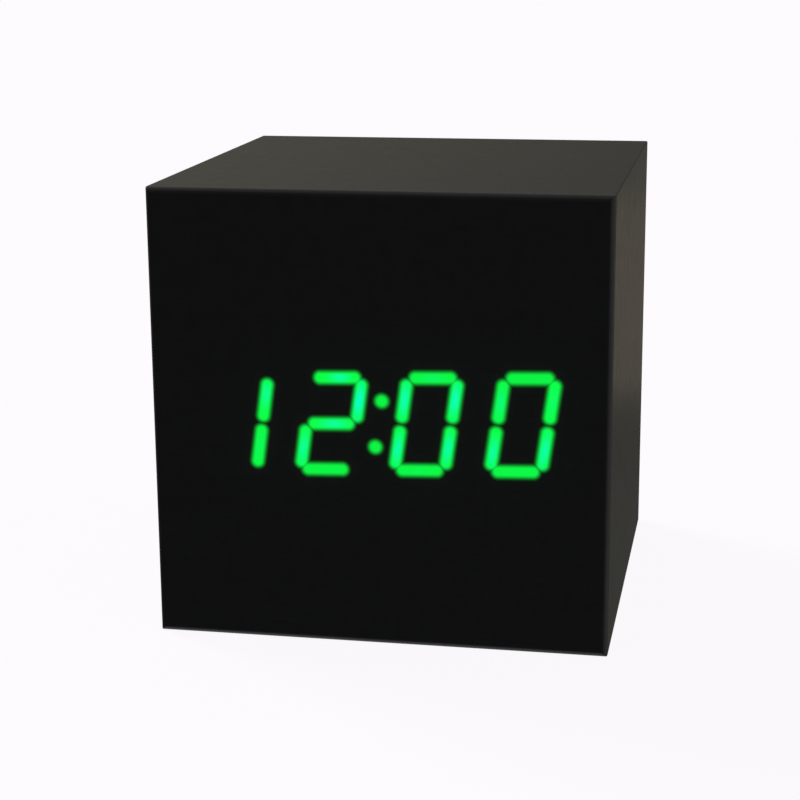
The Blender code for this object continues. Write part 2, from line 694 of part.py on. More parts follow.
def battery_springs():
    """A conical spring between each contact and the cell's negative end, wound as one unbroken wire."""
    free = SPRING_ROOM - 2 * GLUE_LINE - SPRING_WIRE
    count = ROUND // 2 * SPRING_TURNS
    least = math.inf
    for number, (z, side) in enumerate(cell_rows(), 1):
        points = []
        for step in range(count + 1):
            share = step / count
            angle = 2 * math.pi * SPRING_TURNS * share
            radius = SPRING_WIDE + (SPRING_NARROW - SPRING_WIDE) * share
            points.append(Vector((side * free * share, radius * math.cos(angle), radius * math.sin(angle))))
        least = min(least, least_gap(points))
        start = -side * (TRAY_IN_X - 2 * GLUE_LINE - CONTACT - SPRING_WIRE / 2)
        finish(wire(f"battery_spring_{number}", points, SPRING_WIRE / 2, (start, CELL_Y, z), 1), "nickel")
    print(f"least gap between turns of a battery spring: {least * 1000:.2f} mm")


def least_gap(points):
    """The least clear distance between turns of the wire, leaving out each point's neighbours along it."""
    near = ROUND // 4
    return min((points[i] - points[j]).length for i in range(len(points))
               for j in range(i + near, len(points))) - SPRING_WIRE


# The control board with its buttons, inlet, buzzer and microphone

def button_places():
    """Across the cover, from the set button to the down button."""
    last = len(BUTTON_NAMES) - 1
    return [BUTTON_X - (last - number) * BUTTON_PITCH for number in range(len(BUTTON_NAMES))]


def control_screw_tip_y():
    return CONTROL_FRONT_Y - GLUE_LINE + CONTROL_SCREW_LENGTH


def control_board():
    board = block("control_board", 0, 2 * CONTROL_X, CONTROL_FRONT_Y, CONTROL_BACK_Y,
                  CONTROL_LOW, CONTROL_HIGH)
    for side in (-1, 1):
        drill(board, f"board_hole_{side}", SMALL_SCREW_RADIUS + SEAT_GAP, side * BOSS_X, LOWER_Z,
              CONTROL_FRONT_Y - OVERRUN, CONTROL_BACK_Y + OVERRUN)
    finish(board, "circuit board")


def buttons():
    """Each button: a cap held behind the cover, the switch on the board, and the plunger between them."""
    flange_back = COVER_IN_Y - RUNNING_GAP
    flange_front = flange_back - BUTTON_FLANGE
    switch_front = CONTROL_BACK_Y + GLUE_LINE
    switch_back = switch_front + SWITCH_HEIGHT
    cap_length = COVER_Y + BUTTON_PROUD - flange_front
    profile = [
        (0, cap_length), (BUTTON_RADIUS - BUTTON_ROUND, cap_length),
        (BUTTON_RADIUS, cap_length - BUTTON_ROUND), (BUTTON_RADIUS, BUTTON_FLANGE),
        (BUTTON_FLANGE_RADIUS, BUTTON_FLANGE), (BUTTON_FLANGE_RADIUS, 0), (0, 0),
    ]
    for name, x in zip(BUTTON_NAMES, button_places()):
        finish(meshed(turned(f"{name}_button", profile, (x, flange_front, UPPER_Z), (0, 1, 0))), "button")
        switch = block(f"{name}_switch", x, SWITCH_SIDE, switch_front, switch_back,
                       UPPER_Z - SWITCH_SIDE / 2, UPPER_Z + SWITCH_SIDE / 2)
        drill(switch, f"{name}_switch_bore", PLUNGER_RADIUS + SEAT_GAP, x, UPPER_Z,
              switch_back - PLUNGER_BORE, switch_back + OVERRUN)
        finish(switch, "grey plastic")
        finish(rod(f"{name}_plunger", PLUNGER_RADIUS, (x, switch_back - PLUNGER_SUNK, UPPER_Z),
                   (x, flange_front - GLUE_LINE, UPPER_Z), SMALL_ROUND), "button")


def power_jack():
    back_y = COVER_IN_Y - GLUE_LINE
    jack = block("power_jack", JACK_X, JACK_WIDTH, CONTROL_BACK_Y + GLUE_LINE, back_y,
                 UPPER_Z - JACK_HEIGHT / 2, UPPER_Z + JACK_HEIGHT / 2)
    floor_y = back_y - JACK_BORE
    root_y = floor_y - JACK_PIN_ROOT
    drill(jack, "jack_bore", JACK_BORE_RADIUS, JACK_X, UPPER_Z, floor_y, back_y + OVERRUN, ROUND)
    drill(jack, "jack_pin_hole", JACK_PIN_RADIUS + GLUE_LINE, JACK_X, UPPER_Z,
          root_y - GLUE_LINE, floor_y + OVERRUN)
    finish(jack, "black plastic")
    finish(rod("power_jack_pin", JACK_PIN_RADIUS, (JACK_X, root_y, UPPER_Z),
               (JACK_X, floor_y + JACK_PIN_FREE, UPPER_Z), SMALL_ROUND), "nickel")


def buzzer():
    seat_y = CONTROL_FRONT_Y - GLUE_LINE
    profile = [
        (0, BUZZER_HEIGHT - BUZZER_HOLE), (BUZZER_HOLE_RADIUS, BUZZER_HEIGHT - BUZZER_HOLE),
        (BUZZER_HOLE_RADIUS, BUZZER_HEIGHT), (BUZZER_RADIUS, BUZZER_HEIGHT), (BUZZER_RADIUS, 0), (0, 0),
    ]
    finish(meshed(turned("buzzer", profile, (BUZZER_X, seat_y, UPPER_Z), (0, -1, 0))), "black plastic")


def microphone():
    seat_y = CONTROL_BACK_Y + GLUE_LINE
    finish(rod("microphone", MICROPHONE_RADIUS, (MICROPHONE_X, seat_y, LOWER_Z),
               (MICROPHONE_X, seat_y + MICROPHONE_HEIGHT, LOWER_Z)), "aluminium")


# Screws

def screw_mesh(name, length, radius, head_radius, head):
    """A pan-head screw with a cross recess, its head above its own origin and its shank below."""
    profile = [
        (0, head), (head_radius * HEAD_CROWN_SHARE, head), (head_radius, head / 2), (head_radius, 0),
        (radius, 0), (radius, radius - length), (radius * POINT_SHARE, -length), (0, -length),
    ]
    made = meshed(turned(name, profile, (0, 0, 0), (0, 0, 1), SMALL_ROUND))
    depth = head * CROSS_DEPTH_SHARE
    reach = head_radius * CROSS_LENGTH_SHARE
    half = CROSS_WIDTH / 2
    arm = box(f"{name}_cross", (-reach, -half, head - depth), (reach, half, head + OVERRUN), True)
    other = box(f"{name}_cross_arm", (-half, -reach, head - depth), (half, reach, head + OVERRUN), True)
    join(arm, other)
    cut(made, arm)
    made = meshed(made)
    mesh = made.data
    for used in (made, arm, other):
        bpy.data.objects.remove(used, do_unlink=True)
    return mesh


def screws():
    small = (SMALL_SCREW_RADIUS, SMALL_HEAD_RADIUS, SMALL_HEAD)
    cover = screw_mesh("cover_screw", COVER_SCREW_LENGTH, COVER_SCREW_RADIUS, COVER_HEAD_RADIUS, COVER_HEAD)
    control = screw_mesh("control_screw", CONTROL_SCREW_LENGTH, *small)
    display = screw_mesh("display_screw", DISPLAY_SCREW_LENGTH, *small)
    for side, name in ((-1, "left"), (1, "right")):
        seat_screw(f"cover_screw_{name}", cover, (side * BLOCK_X, cover_head_y(), BLOCK_Z), 1)
        control_seat = (side * BOSS_X, CONTROL_FRONT_Y - GLUE_LINE, LOWER_Z)
        seat_screw(f"control_screw_{name}", control, control_seat, -1)
    for number, (x, z) in enumerate(display_screw_places(), 1):
        seat_screw(f"display_screw_{number}", display, (x, DISPLAY_BACK_Y + GLUE_LINE, z), 1)


def seat_screw(name, mesh, location, head_side):
    """Place a screw with its head towards +Y or -Y."""
    made = place(name, mesh, location)
    made.rotation_euler = Vector((0, head_side, 0)).to_track_quat("Z", "Y").to_euler()
    if not mesh.materials:
        finish(made, "steel")


# The display

def display_screw_places():
    """Above and below the module, clear of it by the spacers' gap."""
    x = DISPLAY_BOARD_HALF - DISPLAY_SCREW_INSET
    z = MODULE_HEIGHT / 2 + SPACER_GAP + SPACER_RADIUS
    return [(side * x, DISPLAY_Z + up * z) for side in (-1, 1) for up in (-1, 1)]


def display_screw_tip_y():
    return DISPLAY_BACK_Y + GLUE_LINE - DISPLAY_SCREW_LENGTH


def capsule(centre, half_length, radius, angle):
    """A bar with round ends: its centre, its half length to the tips, its half width and its direction."""
    points = []
    for facing in (angle, angle + math.pi):
        middle = Vector(centre) + (half_length - radius) * Vector((math.cos(facing), math.sin(facing)))
        for step in range(BAR_END_STEPS + 1):
            turn = facing + math.pi * step / BAR_END_STEPS - math.pi / 2
            points.append(middle + radius * Vector((math.cos(turn), math.sin(turn))))
    return points


def light_wells(inset=0):
    """Each well's outline about the module's centre, narrowed by an inset, and whether it is lit."""
    wells = []
    lean = math.tan(DIGIT_SLANT)
    for number, figure in enumerate(DISPLAY_TEXT):
        centre = (number - (len(DISPLAY_TEXT) - 1) / 2) * DIGIT_PITCH
        for bar, (across, up, upright) in BAR_SHARES.items():
            z = up * BAR_RISE
            x = centre + across * BAR_SPREAD + z * lean
            half = (BAR_RISE if upright else BAR_SPREAD) / 2 - BAR_END_GAP - inset
            angle = math.pi / 2 - DIGIT_SLANT if upright else 0
            wells.append((capsule((x, z), half, BAR_RADIUS - inset, angle), bar in BARS_OF_DIGIT[figure]))
    for z in (COLON_RISE, -COLON_RISE):
        radius = COLON_RADIUS - inset
        dot = [(z * lean + radius * math.cos(angle), z + radius * math.sin(angle))
               for angle in (2 * math.pi * step / SMALL_ROUND for step in range(SMALL_ROUND))]
        wells.append((dot, True))
    return wells


def display_module():
    """The reflector block with a well for each bar and dot, and the resin that fills it from the back."""
    half_z = MODULE_HEIGHT / 2
    pocket_y = MODULE_BACK_Y - MODULE_POCKET
    reflector = block("reflector_block", 0, 2 * MODULE_HALF, MODULE_Y, MODULE_BACK_Y,
                      DISPLAY_Z - half_z, DISPLAY_Z + half_z)
    middle = (0, MODULE_Y + MODULE_DEPTH / 2, DISPLAY_Z)
    cut(reflector, meshed(slab("light_wells", [outline for outline, _ in light_wells()],
                               MODULE_DEPTH + 2 * OVERRUN, middle, "Y", True)))
    pocket_x = MODULE_HALF - MODULE_POCKET_WALL
    pocket_z = half_z - MODULE_POCKET_WALL
    cut(reflector, block("resin_pocket", 0, 2 * pocket_x, pocket_y, MODULE_BACK_Y + OVERRUN,
                         DISPLAY_Z - pocket_z, DISPLAY_Z + pocket_z, True))
    finish(reflector, "black plastic")
    resin_z = pocket_z - GLUE_LINE
    resin = block("segment_resin", 0, 2 * (pocket_x - GLUE_LINE), pocket_y + GLUE_LINE,
                  MODULE_BACK_Y - GLUE_LINE, DISPLAY_Z - resin_z, DISPLAY_Z + resin_z)
    face_y = MODULE_Y + GLUE_LINE
    back_y = pocket_y + OVERRUN
    wells = light_wells(GLUE_LINE)
    join(resin, meshed(slab("resin_fingers", [outline for outline, _ in wells], back_y - face_y,
                            (0, (face_y + back_y) / 2, DISPLAY_Z), "Y", True)))
    finish(resin, "resin")
    light_up(meshed(resin), face_y, wells)


def light_up(resin, face_y, wells):
    """Make the front faces of the lit wells glow green."""
    glow = bpy.data.materials.new("lit_resin")
    glow.use_nodes = True
    surface = glow.node_tree.nodes["Principled BSDF"]
    surface.inputs["Base Color"].default_value = (*LIT_COLOUR, 1)
    surface.inputs["Emission Color"].default_value = (*LIT_COLOUR, 1)
    surface.inputs["Emission Strength"].default_value = LIT_STRENGTH
    glow.diffuse_color = (*LIT_COLOUR, 1)
    resin.data.materials.append(glow)
    centres = [(sum((Vector(point) for point in outline), Vector((0, 0))) / len(outline), on)
               for outline, on in wells]
    for face in resin.data.polygons:
        middle = resin.matrix_world @ face.center
        if abs(middle.y - face_y) > GLUE_LINE:
            continue
        spot = Vector((middle.x, middle.z - DISPLAY_Z))
        face.material_index = int(min(centres, key=lambda well: (well[0] - spot).length)[1])


def display_board():
    board = block("display_board", 0, 2 * DISPLAY_BOARD_HALF, DISPLAY_BOARD_Y, DISPLAY_BACK_Y,
                  DISPLAY_BOARD_LOW, DISPLAY_BOARD_HIGH)
    front_y = FRONT_BOARD_Y + FRONT_BOARD
    bore = SMALL_SCREW_RADIUS + SEAT_GAP
    for number, (x, z) in enumerate(display_screw_places(), 1):
        drill(board, f"display_hole_{number}", bore, x, z,
              DISPLAY_BOARD_Y - OVERRUN, DISPLAY_BACK_Y + OVERRUN)
        spacer = rod(f"display_spacer_{number}", SPACER_RADIUS, (x, front_y + GLUE_LINE, z),
                     (x, DISPLAY_BOARD_Y - GLUE_LINE, z))
        drill(spacer, f"spacer_bore_{number}", bore, x, z, front_y - OVERRUN, DISPLAY_BOARD_Y + OVERRUN)
        finish(spacer, "grey plastic")
    finish(board, "circuit board")


def chip(name, x, z, length, width, height, legs):
    """A chip on the back of the display board, with a row of bent legs along its two long sides."""
    seat_y = DISPLAY_BACK_Y + GLUE_LINE
    body = block(name, x, length, seat_y, seat_y + height, z - width / 2, z + width / 2)
    reach = width / 2 + LEG_REACH
    for number in range(legs):
        leg_x = x + (number - (legs - 1) / 2) * length / legs
        join(body, block(f"{name}_leg_{number}", leg_x, LEG_WIDTH, seat_y, seat_y + LEG_THICK,
                         z - reach, z + reach, True))
    finish(body, "chip")


def display_parts():
    seat_y = DISPLAY_BACK_Y + GLUE_LINE
    chip("controller_chip", CHIP_X, DISPLAY_Z, CHIP_LENGTH, CHIP_WIDTH, CHIP_HEIGHT, CHIP_LEGS)
    chip("driver_chip", DRIVER_X, DISPLAY_Z, DRIVER_LENGTH, DRIVER_WIDTH, DRIVER_HEIGHT, DRIVER_LEGS)
    middle = Vector((CRYSTAL_X, seat_y + CRYSTAL_RADIUS, DISPLAY_BOARD_LOW + CRYSTAL_RISE))
    half = Vector((CRYSTAL_LENGTH / 2, 0, 0))
    finish(rod("crystal", CRYSTAL_RADIUS, middle - half, middle + half, SMALL_ROUND), "aluminium")
    capacitor_z = DISPLAY_BOARD_LOW + CAPACITOR_RISE
    finish(rod("capacitor", CAPACITOR_RADIUS, (CAPACITOR_X, seat_y, capacitor_z),
               (CAPACITOR_X, seat_y + CAPACITOR_HEIGHT, capacitor_z)), "aluminium")


# Cables inside the case

def ribbon_cable():
    """A flat cable from the display board to the control board, arched over the tray."""
    start = Vector((DISPLAY_BACK_Y + GLUE_LINE, DISPLAY_BOARD_HIGH - RIBBON_START))
    end = Vector((CONTROL_FRONT_Y - GLUE_LINE, CONTROL_LOW + RIBBON_END))
    middle = []
    for step in range(RIBBON_STEPS + 1):
        share = step / RIBBON_STEPS
        rise = share * share * (3 - 2 * share)
        height = start.y + (end.y - start.y) * rise + RIBBON_ARCH * math.sin(math.pi * share) ** 2
        middle.append((start.x + (end.x - start.x) * share, height))
    half = RIBBON_THICK / 2
    outline = [(y, z + half) for y, z in middle] + [(y, z - half) for y, z in reversed(middle)]
    finish(meshed(slab("ribbon_cable", [outline], RIBBON_WIDTH, (RIBBON_X, 0, 0), "X")), "ribbon")


def wire(name, points, radius, location, resolution):
    """A round wire through points given from its own origin."""
    curve = bpy.data.curves.new(name, "CURVE")
    curve.dimensions = "3D"
    curve.bevel_depth = radius
    curve.bevel_resolution = resolution
    curve.use_fill_caps = True
    spline = curve.splines.new("POLY")
    spline.points.add(len(points) - 1)
    for point, place_on_wire in zip(spline.points, points):
        point.co = (*place_on_wire, 1)
    return place(name, curve, location)


def smooth_route(route):
    """Points a set step apart along a smooth curve through a route's own points."""
    route = [Vector(point) for point in route]
    ends = [2 * route[0] - route[1], *route, 2 * route[-1] - route[-2]]
    points = []
    for before, start, end, after in zip(ends, ends[1:], ends[2:], ends[3:]):
        steps = max(1, round((end - start).length / WIRE_POINT_STEP))
        for step in range(steps):
            t = step / steps
            square = 2 * before - 5 * start + 4 * end - after
            cube = 3 * start - before - 3 * end + after
            points.append(start + (t * (end - before) + t * t * square + t * t * t * cube) / 2)
    return [*points, route[-1]]


def battery_wires():
    """A lead from each battery terminal's tab to the front of the control board."""
    tab_y = TRAY_FRONT_Y - TAB_REACH - GLUE_LINE
    tab_x = TRAY_IN_X - GLUE_LINE - CONTACT / 2
    run_y = tab_y - WIRE_RUN
    board_y = CONTROL_FRONT_Y - GLUE_LINE
    for (_, side, tab_z), colour in zip(terminals(), ("black", "red")):
        route = [(side * tab_x, tab_y, tab_z), (side * tab_x, tab_y - WIRE_RADIUS, tab_z),
                 (side * (tab_x - WIRE_RADIUS), run_y, tab_z + WIRE_RUN)]
        below = TRAY_OUT_HIGH - WIRE_RUN
        if below - tab_z > CELL_PITCH:
            route.append((side * (tab_x - 2 * WIRE_RADIUS), run_y, (tab_z + below) / 2))
        route += [(side * (tab_x - WIRE_RUN), run_y, TRAY_OUT_HIGH + WIRE_RUN / 2),
                  (side * (BOSS_X + WIRE_RADIUS), run_y + WIRE_RADIUS, LOWER_Z + WIRE_RUN),
                  (side * WIRE_X, board_y - WIRE_RUN, LOWER_Z + 2 * WIRE_RUN),
                  (side * WIRE_X, board_y, LOWER_Z + 2 * WIRE_RUN)]
        lead = wire(f"battery_wire_{colour}", smooth_route(route), WIRE_RADIUS, (0, 0, 0), 2)
        finish(lead, f"{colour} wire")


def main():
    clear_scene()
    case_films()
    case_boards()
    front_board()
    corner_blocks()
    rear_cover()
    battery_door()
    battery_tray()
    cells()
    contacts()
    battery_springs()
    control_board()
    buttons()
    power_jack()
    buzzer()
    microphone()
    display_module()
    display_board()
    display_parts()
    screws()
    ribbon_cable()
    battery_wires()


main()
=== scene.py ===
"""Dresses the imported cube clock: its wood-grain film, the lit time, the moulded back and the battery bay."""

import math

import bmesh
import bpy
from bpy.props import FloatProperty, FloatVectorProperty, IntProperty, PointerProperty
from mathutils import Matrix, Vector


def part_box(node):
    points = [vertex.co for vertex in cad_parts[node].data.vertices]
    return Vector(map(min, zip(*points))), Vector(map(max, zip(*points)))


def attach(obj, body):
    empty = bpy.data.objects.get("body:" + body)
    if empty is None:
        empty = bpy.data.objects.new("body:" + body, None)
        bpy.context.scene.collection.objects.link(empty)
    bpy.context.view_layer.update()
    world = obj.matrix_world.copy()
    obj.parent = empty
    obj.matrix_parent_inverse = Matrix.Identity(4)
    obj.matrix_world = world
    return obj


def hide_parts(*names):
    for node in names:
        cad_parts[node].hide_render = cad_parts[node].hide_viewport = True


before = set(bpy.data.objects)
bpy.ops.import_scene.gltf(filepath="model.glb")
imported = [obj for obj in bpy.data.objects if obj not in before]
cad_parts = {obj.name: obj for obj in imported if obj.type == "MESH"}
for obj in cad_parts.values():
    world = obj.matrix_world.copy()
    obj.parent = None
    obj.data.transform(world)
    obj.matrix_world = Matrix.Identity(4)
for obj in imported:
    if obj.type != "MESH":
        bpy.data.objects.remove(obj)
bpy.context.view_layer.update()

bl_info = {
    "name": "Cube clock looks",
    "version": (1, 0, 0),
    "blender": (4, 5, 0),
    "location": "3D View > Sidebar > Clock",
    "description": "Builds the finished surfaces of a cube clock around its packed solids",
    "category": "Object",
}

MM = 0.001

# Places taken from the CAD parts in model.glb
FRONT_LOW, FRONT_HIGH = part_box("front_film")
WRAP_LOW, WRAP_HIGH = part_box("wrap_film")
DOOR_LOW, DOOR_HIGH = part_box("battery_door")
REAR_FACE = DOOR_HIGH.y
OUTWARD = (0, 1, 0)
BUTTONS = ("set", "up", "down")

# Holes in the rear cover: their radii, how deep they are cut, and how far a cutter stands out of the face
BUTTON_HOLE, INLET_HOLE, MICROPHONE_HOLE, HOLE_DEPTH = 2.8 * MM, 2.6 * MM, 0.7 * MM, 2.6 * MM
SCREW_HOLE, SCREW_HOLE_DEPTH = 2.2 * MM, 1.25 * MM
PAST_FACE = 1 * MM

# Textures of moulded plastic: width and depth of its grain
COVER_GRAIN = (0.22 * MM, 0.03 * MM)
SMOOTH_GRAIN = (0.2 * MM, 0.006 * MM)
DULL_GRAIN = (0.2 * MM, 0.01 * MM)

# Bare metal that shows at a cell's ends, on solder pads and on the legs of chips
CELL_STEEL = (0.6, 0.59, 0.56, 1)
SOLDER = (0.62, 0.6, 0.55, 1)
TINNED = (0.66, 0.65, 0.62, 1)

# Smoothness
ROUND = 64
ARC_STEPS = 6
BEVEL_STEPS = 3
SHARP_ANGLE = math.radians(30)
FLAT_ANGLE = math.radians(1)
WELD = 0.002 * MM
TINY = 0.02 * MM

# The seven bars of a digit: place across and up as shares of spread and rise, and whether it is upright
BAR_SHARES = {
    "a": (0, 1, False),
    "b": (0.5, 0.5, True),
    "c": (0.5, -0.5, True),
    "d": (0, -1, False),
    "e": (-0.5, -0.5, True),
    "f": (-0.5, 0.5, True),
    "g": (0, 0, False),
}
# The lit bars of each digit, left to right, with each bar's brightness as a share
LIT_SHARES = (
    {"b": 1.0, "c": 0.98},
    {"a": 1.0, "b": 1.0, "g": 1.0, "e": 1.0, "d": 0.96},
    {"a": 0.97, "b": 1.0, "c": 1.0, "d": 0.97, "e": 1.0, "f": 1.0},
    {"a": 0.95, "b": 1.0, "c": 1.0, "d": 0.97, "e": 1.0, "f": 0.98},
)
# Hot cores: digit, bar, place along the bar, length and heat, as shares
HOT_SHARES = (
    (0, "b", 0.4, 0.7, 0.42), (0, "c", 0.0, 0.8, 0.07),
    (1, "a", 0.15, 0.5, 0.55), (1, "b", 0.0, 0.95, 0.92), (1, "g", 0.15, 0.7, 0.5),
    (1, "e", -0.1, 0.85, 0.45),
    (2, "f", 0.1, 0.9, 0.7), (2, "b", 0.1, 0.9, 0.75), (2, "e", -0.1, 0.85, 0.6),
    (2, "c", -0.05, 0.85, 0.58), (2, "a", 0.0, 0.6, 0.1), (2, "d", 0.0, 0.6, 0.03),
    (3, "f", -0.1, 0.8, 0.22), (3, "b", 0.0, 0.8, 0.12), (3, "e", -0.25, 0.8, 0.52),
    (3, "c", -0.15, 0.9, 0.6),
)
DOT_SHARE = 0.95
HOT_WIDTH_SHARE = 0.6
EYE_POWER = 2.2

# The room behind the clock and in front of it: heights of a direction from -1 to 1, with the light there
REAR_ROOM = (
    (-1.0, (0.45, 0.45, 0.45)), (-0.8, (0.4, 0.4, 0.4)), (-0.6, (0.082, 0.08, 0.072)),
    (-0.29, (0.082, 0.081, 0.07)), (-0.262, (0.069, 0.068, 0.058)), (-0.2425, (0.072, 0.071, 0.062)),
    (-0.2345, (0.168, 0.147, 0.121)), (-0.144, (0.168, 0.147, 0.121)), (-0.131, (0.112, 0.109, 0.094)),
    (0.05, (0.092, 0.0895, 0.0735)), (0.45, (0.092, 0.0895, 0.0735)), (1.0, (0.15, 0.15, 0.15)),
)
FRONT_ROOM = (
    (-1.0, (0.6, 0.6, 0.6)), (-0.87, (0.5, 0.5, 0.5)), (-0.7, (0.07, 0.074, 0.08)),
    (0.0, (0.068, 0.07, 0.073)), (0.2, (0.08, 0.08, 0.08)), (1.0, (0.15, 0.15, 0.15)),
)
# Where the front room gives way to the rear one, and the left side's light to the right side's
ROOM_DEPTHS = (-0.2, 0.4)
ROOM_SIDES = (-0.3, -0.06)
# The glow on the room's right: where it begins and is full, and its strength at both
SIDE_GLOW = (0.5, 1.0, 0.0, 0.3)
# Lamps: strength, spread in degrees and the way to the lamp
LAMPS = (
    ("top_lamp", 0.3, 100, (-0.2, 0.4, 1.0)),
    ("rear_lamp", 2.5, 20, (-0.85, 0.5, 0.55)),
    ("front_lamp", 0.2, 60, (0.7, -0.7, 0.4)),
)
# The floor: half its width, the tones of its paper and the share of its colour that it glows with
FLOOR_REACH = 3.0
FLOOR_TONES = (0.06, 0.066)
FLOOR_GLOW = 0.965


# Shader nodes written as Python sums

class Value:
    """A node's output that takes part in Python sums; each sum adds a Math node."""

    def __init__(self, finish, socket):
        self.finish = finish
        self.socket = socket

    def math(self, operation, *others):
        return self.finish.math(operation, self, *others)

    def vector(self, operation, *others):
        """A Vector Math node; a length or a dot product comes out as a number."""
        output = int(operation in ("LENGTH", "DOT_PRODUCT"))
        return self.finish.node("ShaderNodeVectorMath", {"operation": operation}, (self, *others), output)

    def part(self, axis):
        return self.finish.node("ShaderNodeSeparateXYZ", {}, (self,), axis)

    def __add__(self, other):
        return self.math("ADD", other)

    def __sub__(self, other):
        return self.math("SUBTRACT", other)

    def __rsub__(self, other):
        return self.finish.math("SUBTRACT", other, self)

    def __mul__(self, other):
        return self.math("MULTIPLY", other)

    def __truediv__(self, other):
        return self.math("DIVIDE", other)

    def __rtruediv__(self, other):
        return self.finish.math("DIVIDE", other, self)

    def __pow__(self, other):
        return self.math("POWER", other)

    def __rpow__(self, other):
        return self.finish.math("POWER", other, self)

    def __abs__(self):
        return self.math("ABSOLUTE")

    __radd__ = __add__
    __rmul__ = __mul__


class Finish:
    """A material, or another node tree, with one method that makes any node of it."""

    def __init__(self, name, owner=None):
        self.owner = owner or bpy.data.materials.new(name)
        self.owner.use_nodes = True
        self.tree = self.owner.node_tree
        self.tree.nodes.clear()

    def node(self, kind, settings=None, inputs=(), output=0):
        """Make a node: its settings first, then the values or links of its sockets."""
        made = self.tree.nodes.new(kind)
        for key, value in (settings or {}).items():
            if key == "stops":
                self.set_stops(made.color_ramp, value)
            else:
                setattr(made, key, value)
        for key, value in inputs.items() if isinstance(inputs, dict) else enumerate(inputs):
            if isinstance(value, Value):
                self.tree.links.new(value.socket, made.inputs[key])
            else:
                made.inputs[key].default_value = value
        return Value(self, made.outputs[output]) if made.outputs else made

    @staticmethod
    def set_stops(ramp, stops):
        while len(ramp.elements) < len(stops):
            ramp.elements.new(1)
        for element, (position, tone) in zip(ramp.elements, stops):
            element.position = position
            element.color = tone

    def math(self, operation, *terms):
        return self.node("ShaderNodeMath", {"operation": operation}, terms)

    def rise(self, value, low, high, start=0.0, end=1.0):
        """A soft step from start to end while value goes from low to high."""
        return self.node("ShaderNodeMapRange", {"interpolation_type": "SMOOTHSTEP"},
                         (value, low, high, start, end))

    def noise(self, place, lumps, detail=2.0, roughness=0.5, distortion=0.0):
        """Noise with a number of lumps for each metre, one for all axes or one each for X, Y and Z."""
        stretch = lumps if isinstance(lumps, (list, tuple)) else [lumps] * 3
        return self.node("ShaderNodeTexNoise", {}, {
            "Vector": place.vector("MULTIPLY", stretch), "Scale": 1.0, "Detail": detail,
            "Roughness": roughness, "Distortion": distortion})

    def mix(self, factor, first, second):
        return self.node("ShaderNodeMix", {"data_type": "RGBA"}, {0: factor, 6: first, 7: second}, 2)

    def tones(self, factor, rgb, first, second):
        """A mix of two shares of one colour."""
        return self.mix(factor, scaled(rgb, first), scaled(rgb, second))

    def grey(self, value):
        return self.node("ShaderNodeCombineXYZ", {}, (value, value, value))

    def bump(self, height, distance):
        return self.node("ShaderNodeBump", {}, {"Strength": 1.0, "Distance": distance, "Height": height})

    def surface(self, **sockets):
        """Finish with a Principled surface; names are its sockets with underscores for spaces."""
        inputs = {key.replace("_", " "): value for key, value in sockets.items()}
        shader = self.node("ShaderNodeBsdfPrincipled", {}, inputs)
        self.node("ShaderNodeOutputMaterial", {}, {"Surface": shader})
        return self.owner


def started(name):
    """A new material, and the point in the piece's own space in metres."""
    made = Finish(name)
    return made, made.node("ShaderNodeTexCoord", output="Object")


def colour(rgb):
    return (*rgb, 1.0)


def scaled(rgb, share):
    return colour([channel * share for channel in rgb])


# Finishes

def wood_film(name, film, grain, display=None):
    """Black film pressed with wood grain along one axis; a display that is given shines through it."""
    made, place = started(name)
    fine, broad = [1 / film.pore_width] * 3, [1 / film.figure_width] * 3
    fine[grain], broad[grain] = 1 / film.pore_length, 1 / film.figure_length
    pores = made.rise(made.noise(place, fine, detail=3.0, roughness=0.6), 0.5, 0.72)
    figure = made.noise(place, broad, distortion=0.6)
    mottle = made.noise(place, 1 / film.mottle_size)
    base = made.tones(figure, film.film_colour, 0.8, 1.2)
    base = made.mix(made.rise(mottle, 0.35, 0.65) * 0.5, base, scaled(film.film_colour, 0.6))
    base = made.mix(pores * 0.5, base, scaled(film.film_colour, 0.4))
    sockets = {
        "Base_Color": base,
        "Roughness": film.film_roughness + (mottle - 0.5) * 0.1 + pores * 0.08,
        "Specular_IOR_Level": film.film_gloss,
        "Normal": made.bump(figure * 0.3 - pores, film.pore_depth),
    }
    if display:
        sockets.update(Emission_Color=lit_time(made, place, display), Emission_Strength=1.0)
    return made.surface(**sockets)


class InMillimetres:
    """The display's sizes in millimetres, for the sums in its material."""

    def __init__(self, display):
        for key in ("pitch", "spread", "rise", "colon_rise", "dot_radius", "edge_soft", "bar_radius"):
            setattr(self, key, getattr(display, key) / MM)
        self.slant = display.slant
        self.upright_half = display.upright_length / MM / 2 - self.bar_radius
        self.level_half = display.level_length / MM / 2 - self.bar_radius

    def bar(self, digit, name):
        """A bar's centre from the display's middle, its direction and its half length."""
        across, up, upright = BAR_SHARES[name]
        from_middle = digit - (len(LIT_SHARES) - 1) / 2
        z = up * self.rise
        centre = Vector((from_middle * self.pitch + across * self.spread + z * math.tan(self.slant), 0, z))
        if upright:
            return centre, Vector((math.sin(self.slant), 0, math.cos(self.slant))), self.upright_half
        return centre, Vector((1, 0, 0)), self.level_half


